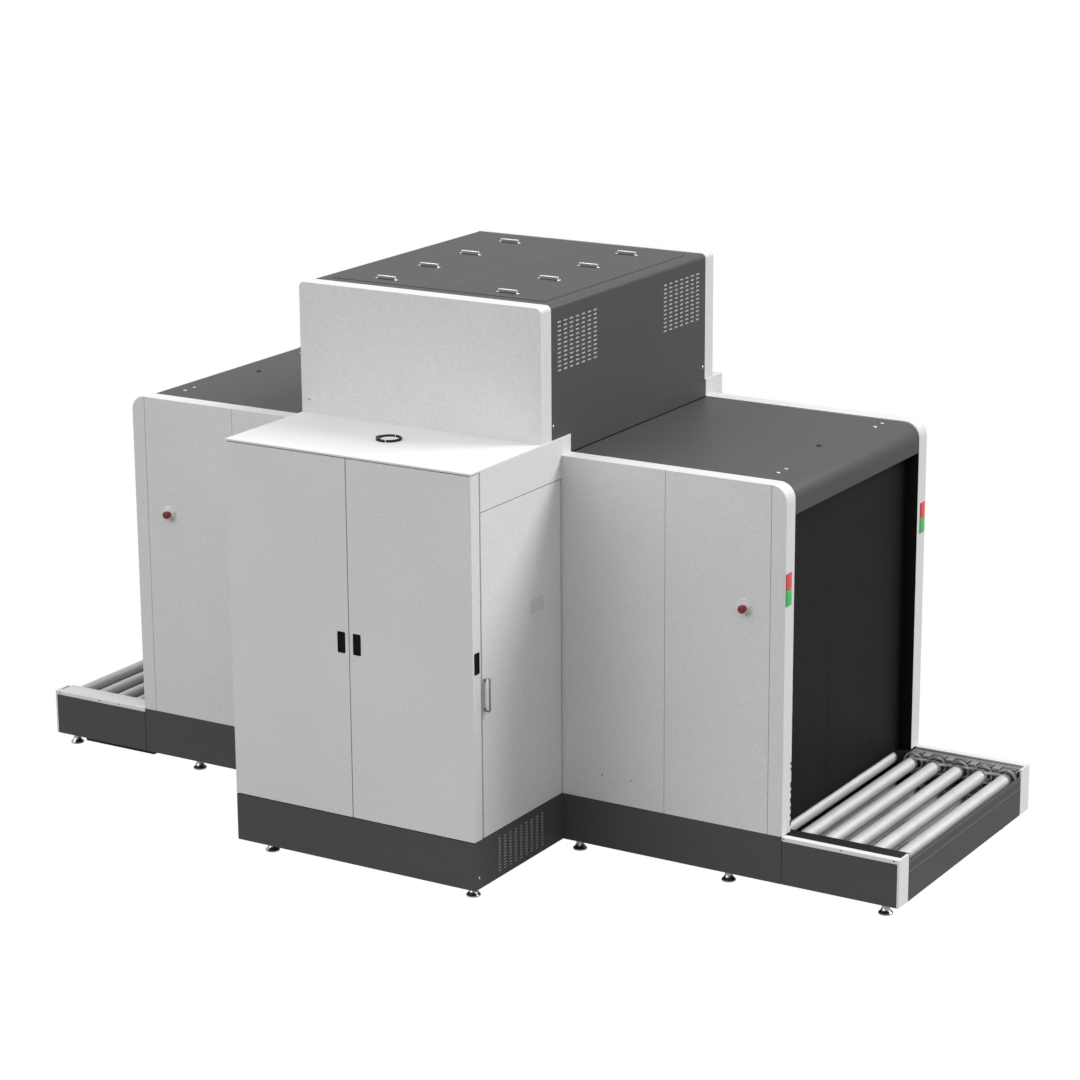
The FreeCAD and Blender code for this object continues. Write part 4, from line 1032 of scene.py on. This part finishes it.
class SCANNER_OT_feet(bpy.types.Operator):
    """Levelling feet: flared plated pads, threaded studs and lock nuts"""

    bl_idname = "scanner.feet"
    bl_label = "Levelling feet"

    def execute(self, context):
        mesh = bmesh.new()
        top = corners("side_skirts")[0].z
        for x, y in self.places():
            place = Matrix.Translation((x, y, 0))
            lathe(mesh, [(0.0, 0.038), (0.0015, 0.040), (0.008, 0.040), (0.011, 0.0375), (0.017, 0.031),
                         (0.026, 0.0250), (0.038, 0.0212), (0.056, 0.0195), (0.060, 0.0185)], place, 32)
            thread = [(0.058, 0.0135)]
            turns = 14
            for turn in range(turns):
                z = 0.060 + (top - 0.060) * turn / turns
                thread += [(z, 0.0145), (z + 0.0014, 0.0162)]
            thread.append((top, 0.0145))
            lathe(mesh, thread, place, 20)
            lathe(mesh, [(0.074, 0.0225), (0.0755, 0.0250), (0.0885, 0.0250), (0.090, 0.0225)], place, 6)
        piece("foot_assemblies", mesh, "foot_metal", replaces=("levelling_feet",))
        return {"FINISHED"}

    def places(self):
        """Centres of the feet, read from the frame's own node."""
        data = frame["nodes"]["levelling_feet"].data
        low = [vertex.co for vertex in data.vertices if vertex.co.z < 0.001]
        groups = []
        for point in low:
            for group in groups:
                if (group[0] - point).length < 0.085:
                    group.append(point)
                    break
            else:
                groups.append([point])
        centres = []
        for group in groups:
            xs, ys = [p.x for p in group], [p.y for p in group]
            centres.append(((min(xs) + max(xs)) / 2, (min(ys) + max(ys)) / 2))
        return centres


GLAND_ARCS = ((95, 150, 0.020), (-70, 95, 0.013), (32, 55, 0.010), (252, 30, 0.014))


def arc_ring(mesh, centre, inner, outer, bottom, top, begin, sweep):
    """Part of a flat ring, closed at both ends; angles in degrees."""
    steps = max(4, int(sweep / 6))
    rings = []
    for step in range(steps + 1):
        angle = math.radians(begin + sweep * step / steps)
        out = Vector((math.cos(angle), math.sin(angle), 0))
        corners_round = ((inner, bottom), (inner, top - 0.003), (inner + 0.003, top), (outer - 0.003, top),
                         (outer, top - 0.003), (outer, bottom))
        rings.append([mesh.verts.new(Vector(centre) + out * radius + Vector((0, 0, height)))
                      for radius, height in corners_round])
    for first, second in zip(rings, rings[1:]):
        join_rings(mesh, first, second)
    mesh.faces.new(rings[0])
    mesh.faces.new(rings[-1])


class SCANNER_OT_gland(bpy.types.Operator):
    """Cable gland on the cabinet's top: rubber ring with a split, over a pale blanking disc"""

    bl_idname = "scanner.gland"
    bl_label = "Cable gland"

    def execute(self, context):
        low, high = corners("cable_gland")
        centre = ((low.x + high.x) / 2, (low.y + high.y) / 2, low.z)
        outer = (high.x - low.x) / 2
        place = Matrix.Translation(centre)
        ring, disc = bmesh.new(), bmesh.new()
        for begin, sweep, width in GLAND_ARCS:
            arc_ring(ring, centre, outer - width, outer, 0.0, 0.013, begin, sweep)
        block(ring, (centre[0] - outer - 0.006, centre[1] - 0.016, centre[2]),
              (centre[0] - outer + 0.020, centre[1] + 0.016, centre[2] + 0.013), 0.004)
        piece("gland_ring", ring, "black_plastic", replaces=("cable_gland",))
        lathe(disc, [(0.0, outer - 0.0205), (0.003, outer - 0.0205), (0.004, outer - 0.0215),
                     (0.004, 0.0)], place, 64)
        for angle in (0.0, 2.1, 4.2):
            spot = Vector((math.cos(angle), math.sin(angle), 0)) * (outer - 0.036)
            screw(disc, Vector(centre) + spot + Vector((0, 0, 0.004)), (0, 0, 1), 0.005, 12)
        piece("gland_disc", disc, "white_coat")
        return {"FINISHED"}


PANEL_SCREWS_X, PANEL_SCREWS_Z = (1.051, 1.236), 0.531
ROOF_SCREWS_X, ROOF_SCREWS_Y = 1.985, (-0.615, -0.523, 0.585, 0.682)
ROOF_HOLE_SHADE_X, ROOF_HOLE_SHADE_Y = 1.910, 0.030
UPPER_SCREWS_X, UPPER_SCREWS_Z = 0.740, 2.519
COVER_SCREWS_Y, COVER_SCREWS_Z = (-0.960, 0.746), 2.514
PLINTH_SCREW_Z, PLINTH_SCREW_INSET = 0.166, 0.040
RAIL_SCREWS_X = {1: (2.187, 2.530, 2.843), -1: (2.378, 2.530, 2.843)}
RAIL_SCREWS_Z, RAIL_SCREW_RADIUS = 0.366, 0.0045
PRESSINGS, PRESSING_RADIUS = ((-0.569, 200), (0.634, -20)), 0.085


class SCANNER_OT_fixings(bpy.types.Operator):
    """Screws, black discs of painted shade for the holes in the hood roofs, and pressed marks on the hoods,
    the upper housing, the plinth and the rails
    """

    bl_idname = "scanner.fixings"
    bl_label = "Fixings"

    def execute(self, context):
        size = sizes().screw_radius
        bright, dark = bmesh.new(), bmesh.new()
        roof = corners("hood_roofs")[1].z
        for _, sign in SIDES:
            for face, way in ((PANEL_LOW.y, -1), (REAR_HIGH.y, 1)):
                for x in PANEL_SCREWS_X:
                    screw(bright, (sign * x, face, PANEL_SCREWS_Z), (0, way, 0), size * 0.8)
            for y in ROOF_SCREWS_Y:
                screw(bright, (sign * ROOF_SCREWS_X, MIDDLE_Y + y, roof), (0, 0, 1), size * 1.3)
            # black domed disc in place of a hole in the hood roof: painted shade of the hole
            screw(dark, (sign * ROOF_HOLE_SHADE_X, MIDDLE_Y + ROOF_HOLE_SHADE_Y, roof), (0, 0, 1), size * 1.7)
            screw(bright, (sign * UPPER_SCREWS_X, UPPER_LOW.y, UPPER_SCREWS_Z), (0, -1, 0), size)
            screw(bright, (sign * UPPER_SCREWS_X, UPPER_HIGH.y, UPPER_SCREWS_Z), (0, 1, 0), size)
            for y in COVER_SCREWS_Y:
                screw(bright, (sign * COVER_HIGH.x, MIDDLE_Y + y, COVER_SCREWS_Z), (sign, 0, 0), size)
            screw(bright, (sign * PLINTH_HIGH.x, PLINTH_LOW.y + PLINTH_SCREW_INSET, PLINTH_SCREW_Z),
                  (sign, 0, 0), size)
            for x in RAIL_SCREWS_X[sign]:
                for face, way in ((RAIL_LOW.y, -1), (RAIL_HIGH.y, 1)):
                    screw(dark, (sign * x, face, RAIL_SCREWS_Z), (0, way, 0), RAIL_SCREW_RADIUS, 12)
        piece("bright_screws", bright, "foot_metal")
        piece("dark_screws_and_hole_shade", dark, "black_plastic")
        self.pressed_marks(roof)
        self.trim_strips()
        return {"FINISHED"}

    def trim_strips(self):
        """Pale strips in the joins of the roof lids; a pale line along the drive guard's top front edge,
        which is a painted highlight; and a black sheet over the guard's front.
        """
        low, high = corners("roof_lids")
        seams_and_highlight, guard = bmesh.new(), bmesh.new()
        span_block(seams_and_highlight, (low.x + 0.004, high.x - 0.004), (MIDDLE_Y - 0.0018, MIDDLE_Y + 0.0018),
                   (high.z - 0.001, high.z + 0.0006), 0.0004)
        span_block(seams_and_highlight, (-0.0022, 0.0022), (low.y + 0.004, high.y - 0.004),
                   (high.z - 0.002, high.z + 0.0006), 0.0004)
        low, high = corners("drive_guard")
        # pale line on the drive guard's top front edge: painted highlight
        span_block(seams_and_highlight, (low.x, high.x), (low.y - 0.001, low.y + 0.003),
                   (high.z - 0.005, high.z - 0.001), 0.0005)
        span_block(guard, (low.x + 0.001, high.x - 0.001), (low.y - 0.001, low.y + 0.003),
                   (low.z, high.z - 0.006), 0.0008)
        piece("seam_and_highlight_strips", seams_and_highlight, "lid_seam")
        piece("guard_edges", guard, "black_plastic")

    def pressed_marks(self, roof):
        """Shallow curved ridges pressed into the hood roofs beside the screws."""
        mesh = bmesh.new()
        for _, sign in SIDES:
            for y, start in PRESSINGS:
                centre = Vector((sign * ROOF_SCREWS_X, MIDDLE_Y + y, roof))
                rings = []
                for step in range(19):
                    angle = math.radians(start + 180 * step / 18)
                    out = Vector((math.cos(angle), math.sin(angle), 0))
                    lift = 0.0012 * math.sin(math.pi * step / 18) ** 0.5
                    ridge = ((-0.004, -0.0004), (-0.0015, lift), (0.0015, lift), (0.004, -0.0004))
                    rings.append([
                        mesh.verts.new(centre + out * (PRESSING_RADIUS + shift) + Vector((0, 0, up)))
                        for shift, up in ridge])
                for first, second in zip(rings, rings[1:]):
                    join_rings(mesh, first, second)
                mesh.faces.new(rings[0])
                mesh.faces.new(rings[-1])
        piece("roof_pressings", mesh, "dark_coat")


BARRIER_WINDOWS = ((0.425, 0.030), (0.470, 0.016), (0.512, 0.014), (0.556, 0.026), (0.604, 0.014),
                   (0.645, 0.030), (0.735, 0.014), (0.768, 0.016))


HOLE_COLUMNS, HOLE_ROWS = 8, 8
HOLE_START_Y, HOLE_START_Z = -1.213, 1.517
HOLE_PITCH_Y, HOLE_PITCH_Z, HOLE_RADIUS = 0.0180, 0.0105, 0.0026


class SCANNER_OT_sensors(bpy.types.Operator):
    """Light-barrier windows on the panels' inner edges, and black discs of painted shade for the small
    holes in the side doors
    """

    bl_idname = "scanner.sensors"
    bl_label = "Sensors and holes"

    def execute(self, context):
        mesh = bmesh.new()
        for _, sign in SIDES:
            x_near, x_far = sorted((sign * (PANEL_HIGH.x - 0.012), sign * (PANEL_HIGH.x + 0.0012)))
            for z, tall in BARRIER_WINDOWS:
                block(mesh, (x_near, PANEL_HIGH.y - 0.011, z - tall / 2),
                      (x_far, PANEL_HIGH.y + 0.0035, z + tall / 2), 0.0015)
        piece("light_barrier_windows", mesh, "black_plastic")
        for side, sign in SIDES:
            holes = bmesh.new()
            for column in range(HOLE_COLUMNS):
                for row in range(HOLE_ROWS):
                    centre = (sign * BODY_HALF, MIDDLE_Y + HOLE_START_Y + HOLE_PITCH_Y * column,
                              HOLE_START_Z + HOLE_PITCH_Z * row)
                    # each hole is a black disc: painted shade of its inside
                    lathe(holes, [(-0.002, HOLE_RADIUS), (0.0003, HOLE_RADIUS), (0.0003, 0.0)],
                          facing(centre, (sign, 0, 0)), 10)
            piece(f"door_hole_shade_{side}", holes, "black_plastic", body=f"side_door_{side}")
        return {"FINISHED"}


class SCANNER_OT_liners(bpy.types.Operator):
    """Rubber liners of the mouths, and near-black strips of painted shade in the panel seam grooves and
    under the upper housing
    """

    bl_idname = "scanner.liners"
    bl_label = "Liners and gaskets"

    def execute(self, context):
        liner, painted_shade = bmesh.new(), bmesh.new()
        roof = corners("hood_roofs")
        beam = corners("beam_housing")
        curtain_x = corners("curtain_right")[1].x
        for _, sign in SIDES:
            near, far = sorted((sign * (curtain_x - 0.060), sign * (PANEL_HIGH.x - 0.0005)))
            for y, way in ((PANEL_HIGH.y, 1), (REAR_LOW.y, -1)):
                low_y, high_y = sorted((y, y + way * 0.0025))
                block(liner, (near, low_y, PANEL_LOW.z + 0.0005), (far, high_y, roof[0].z - 0.001), 0.0008)
            # near-black strips in the panel seam grooves: painted shade
            for x in SEAMS:
                near_x, far_x = sorted((sign * (x + 0.0001), sign * (x + 0.0019)))
                for low_y, high_y in ((PANEL_LOW.y + 0.0012, PANEL_LOW.y + 0.0039),
                                      (REAR_HIGH.y - 0.0039, REAR_HIGH.y - 0.0012)):
                    block(painted_shade, (near_x, low_y, PANEL_LOW.z + 0.002),
                          (far_x, high_y, PANEL_HIGH.z - 0.003), 0.0003, 1)
            # near-black strip along the collar's foot on the roof: painted shadow line
            near, far = sorted((sign * beam[1].x, sign * (beam[1].x + 0.004)))
            block(painted_shade, (near, beam[0].y + 0.002, roof[1].z), (far, beam[1].y - 0.002, roof[1].z + 0.006),
                  0.001)
        piece("mouth_liners", liner, "lead_rubber")
        piece("seam_painted_shades", painted_shade, "pull_cup")
        return {"FINISHED"}


SEAMS = (1.443, 2.085)


BED_COVER_THICK, DRIVE_PLATE_THICK = 0.0022, 0.0016
WHEEL_RADIUS, WHEEL_STEP = 0.056, 14
WHEEL_PIN_RADIUS = 0.0036
WHEEL_LANES = ((-0.013, -29, 210), (0.018, 41, 146), (0.038, 41, 146))


class SCANNER_OT_bearings(bpy.types.Operator):
    """Covers on the roller beds, and the chain wheels beside the rollers' ends"""

    bl_idname = "scanner.bearings"
    bl_label = "Bed covers and drive wheels"

    def execute(self, context):
        low, high = corners("roller_beds")
        pan_low, pan_high = corners("roller_pan")
        cover = bmesh.new()
        outer = corners("table_rails")[1].x - 0.014
        for y_near, y_far in ((low.y + 0.001, pan_low.y - 0.001), (pan_high.y + 0.001, high.y - 0.001)):
            block(cover, (-outer, y_near, high.z), (-PANEL_HIGH.x - 0.002, y_far, high.z + BED_COVER_THICK),
                  0.0008)
        piece("bed_covers_left", cover, "rail_metal")
        plate = bmesh.new()
        block(plate, (PANEL_HIGH.x + 0.002, pan_high.y + 0.001, high.z),
              (outer, high.y - 0.001, high.z + DRIVE_PLATE_THICK), 0.0006)
        for _, sign in SIDES:
            near, far = sorted((sign * (PANEL_HIGH.x + 0.002), sign * outer))
            block(plate, (near, pan_high.y - 0.0015, pan_high.z + 0.001), (far, pan_high.y, high.z), 0.0004)
        piece("drive_plate", plate, "drive_plate")
        wheels, slots = bmesh.new(), bmesh.new()
        for side, sign in SIDES:
            for index in range(1, 6):
                roller_low, roller_high = corners(f"roller_{side}_{index}")
                axis = (roller_low + roller_high) / 2
                top = high.z + (DRIVE_PLATE_THICK if sign > 0 else BED_COVER_THICK)
                self.wheel(wheels, slots, axis.x, axis.z, pan_high.y, top)
        piece("drive_wheels", wheels, "chain_metal")
        piece("drive_slot_shade", slots, "black_plastic")
        return {"FINISHED"}

    def wheel(self, wheels, slots, x, axis_z, near_y, top):
        """Three chain wheels of one roller; two of them rise through a slot of the bed's flange, drawn as a
        thin black plate of painted shade.
        """
        for lane, start, stop in WHEEL_LANES:
            pins = [(x + WHEEL_RADIUS * math.cos(math.radians(turn)),
                     axis_z + WHEEL_RADIUS * math.sin(math.radians(turn)))
                    for turn in range(start, stop, WHEEL_STEP)]
            y = near_y + lane
            for index, (start, end) in enumerate(zip(pins, pins[1:])):
                link_pair(wheels, index, start, end, y)
                pin = facing((start[0], y, start[1]), (0, 1, 0))
                lathe(wheels, [(-PIN_HALF, WHEEL_PIN_RADIUS), (PIN_HALF, WHEEL_PIN_RADIUS)], pin, 8)
        # the flange's slot is a thin black plate: painted shade of the opening
        span_block(slots, (x - 0.050, x + 0.050), (near_y + 0.002, near_y + 0.052),
                   (top, top + 0.0012), 0.0005)


CAMERA_PLACE = (9.4782, -14.9947, 6.5899)
CAMERA_AZIMUTH, CAMERA_ELEVATION, CAMERA_ROLL = 31.28, 15.63, -0.375
CAMERA_LENS, CAMERA_SENSOR = 106.26, 36.0
DOME_SIDE, DOME_TOP = 0.30, 1.25
LAMPS = (("key", (0.62, 0.43, 0.62), 2.25, 24), ("fill", (-0.50, -0.72, 0.48), 0.92, 45))


class SCANNER_OT_stage(bpy.types.Operator):
    """Camera at the photograph's angle, studio lamps and a white floor"""

    bl_idname = "scanner.stage"
    bl_label = "Stage"

    def execute(self, context):
        self.camera(context.scene)
        self.lamps()
        self.floor()
        self.world(context.scene)
        context.scene.view_settings.view_transform = "Standard"
        return {"FINISHED"}

    def camera(self, scene):
        data = bpy.data.cameras.new("camera")
        data.sensor_width = CAMERA_SENSOR
        data.lens = CAMERA_LENS
        data.clip_start, data.clip_end = 0.1, 200.0
        made = bpy.data.objects.new("camera", data)
        scene.collection.objects.link(made)
        azimuth, elevation = math.radians(CAMERA_AZIMUTH), math.radians(CAMERA_ELEVATION)
        back = Vector((math.sin(azimuth) * math.cos(elevation),
                       -math.cos(azimuth) * math.cos(elevation), math.sin(elevation)))
        level = (-back).cross(Vector((0, 0, 1))).normalized()
        upright = level.cross(-back)
        roll = math.radians(CAMERA_ROLL)
        right = math.cos(roll) * level + math.sin(roll) * upright
        up = math.cos(roll) * upright - math.sin(roll) * level
        turn = Matrix((right, up, back)).transposed().to_4x4()
        made.matrix_world = Matrix.Translation(CAMERA_PLACE) @ turn
        scene.camera = made

    def lamps(self):
        for name, towards, strength, spread in LAMPS:
            light = bpy.data.lights.new(name, "SUN")
            light.energy = strength
            light.angle = math.radians(spread)
            made = bpy.data.objects.new(name, light)
            made.rotation_mode = "QUATERNION"
            made.rotation_quaternion = Vector(towards).to_track_quat("Z", "Y")
            bpy.context.scene.collection.objects.link(made)

    def floor(self):
        mesh = bmesh.new()
        half = 60.0
        mesh.faces.new([mesh.verts.new((x * half, y * half, -0.0005))
                        for x, y in ((-1, -1), (1, -1), (1, 1), (-1, 1))])
        data = bpy.data.meshes.new("floor")
        mesh.to_mesh(data)
        mesh.free()
        made = bpy.data.objects.new("floor", data)
        bpy.context.scene.collection.objects.link(made)
        material, wiring, shader = bare_material("studio floor")
        shader.inputs["Base Color"].default_value = (0.18, 0.18, 0.18, 1.0)
        shader.inputs["Roughness"].default_value = 0.9
        glow = wiring.node("ShaderNodeEmission")
        glow.inputs["Strength"].default_value = 1.0
        path = wiring.node("ShaderNodeLightPath").outputs
        seen = wiring.maths("MAXIMUM", path["Is Camera Ray"],
                            wiring.maths("MULTIPLY", path["Is Glossy Ray"], 0.25))
        mix = wiring.node("ShaderNodeMixShader")
        wiring.link(seen, mix.inputs["Fac"])
        wiring.link(shader.outputs[0], mix.inputs[1])
        wiring.link(glow.outputs[0], mix.inputs[2])
        wiring.link(mix.outputs[0], material.node_tree.nodes["Material Output"].inputs["Surface"])
        data.materials.append(material)

    def world(self, scene):
        world = bpy.data.worlds.new("studio")
        world.use_nodes = True
        wiring = Wiring(world.node_tree)
        background = world.node_tree.nodes["Background"]
        background.inputs["Color"].default_value = (1.0, 1.0, 1.0, 1.0)
        direction = wiring.node("ShaderNodeSeparateXYZ")
        wiring.link(wiring.node("ShaderNodeTexCoord").outputs["Generated"], direction.inputs[0])
        height = wiring.maths("MAXIMUM", direction.outputs["Z"], 0.0)
        dome = wiring.maths("ADD", wiring.maths("MULTIPLY", height, DOME_TOP - DOME_SIDE), DOME_SIDE)
        strength = wiring.node("ShaderNodeMix", data_type="FLOAT")
        wiring.link(wiring.node("ShaderNodeLightPath").outputs["Is Camera Ray"],
                    strength.inputs["Factor"])
        wiring.link(dome, strength.inputs["A"])
        strength.inputs["B"].default_value = 1.0
        wiring.link(strength.outputs["Result"], background.inputs["Strength"])
        scene.world = world


STEPS = (SCANNER_OT_finishes, SCANNER_OT_grilles, SCANNER_OT_chains, SCANNER_OT_rollers,
         SCANNER_OT_curtains, SCANNER_OT_door_pulls, SCANNER_OT_handles, SCANNER_OT_stop_buttons,
         SCANNER_OT_lamps, SCANNER_OT_feet, SCANNER_OT_gland, SCANNER_OT_fixings,
         SCANNER_OT_sensors, SCANNER_OT_liners, SCANNER_OT_bearings, SCANNER_OT_stage)


class SCANNER_PT_panel(bpy.types.Panel):
    """Lists the steps that dress the scanner"""

    bl_idname = "SCANNER_PT_panel"
    bl_label = "Scanner"
    bl_space_type = "VIEW_3D"
    bl_region_type = "UI"
    bl_category = "Scanner"

    def draw(self, context):
        for step in STEPS:
            self.layout.operator(step.bl_idname)
        for group in (context.scene.scanner_colours, context.scene.scanner_sizes):
            for name in group.__annotations__:
                self.layout.prop(group, name)


CLASSES = (ScannerColours, ScannerSizes, *STEPS, SCANNER_PT_panel)


def register():
    for item in CLASSES:
        bpy.utils.register_class(item)
    bpy.types.Scene.scanner_colours = PointerProperty(type=ScannerColours)
    bpy.types.Scene.scanner_sizes = PointerProperty(type=ScannerSizes)


def unregister():
    del bpy.types.Scene.scanner_colours
    del bpy.types.Scene.scanner_sizes
    for item in reversed(CLASSES):
        bpy.utils.unregister_class(item)


def main():
    """Dress the frame step by step."""
    register()
    for step in STEPS:
        group, name = step.bl_idname.split(".")
        getattr(getattr(bpy.ops, group), name)()


if __name__ == "__main__":
    main()
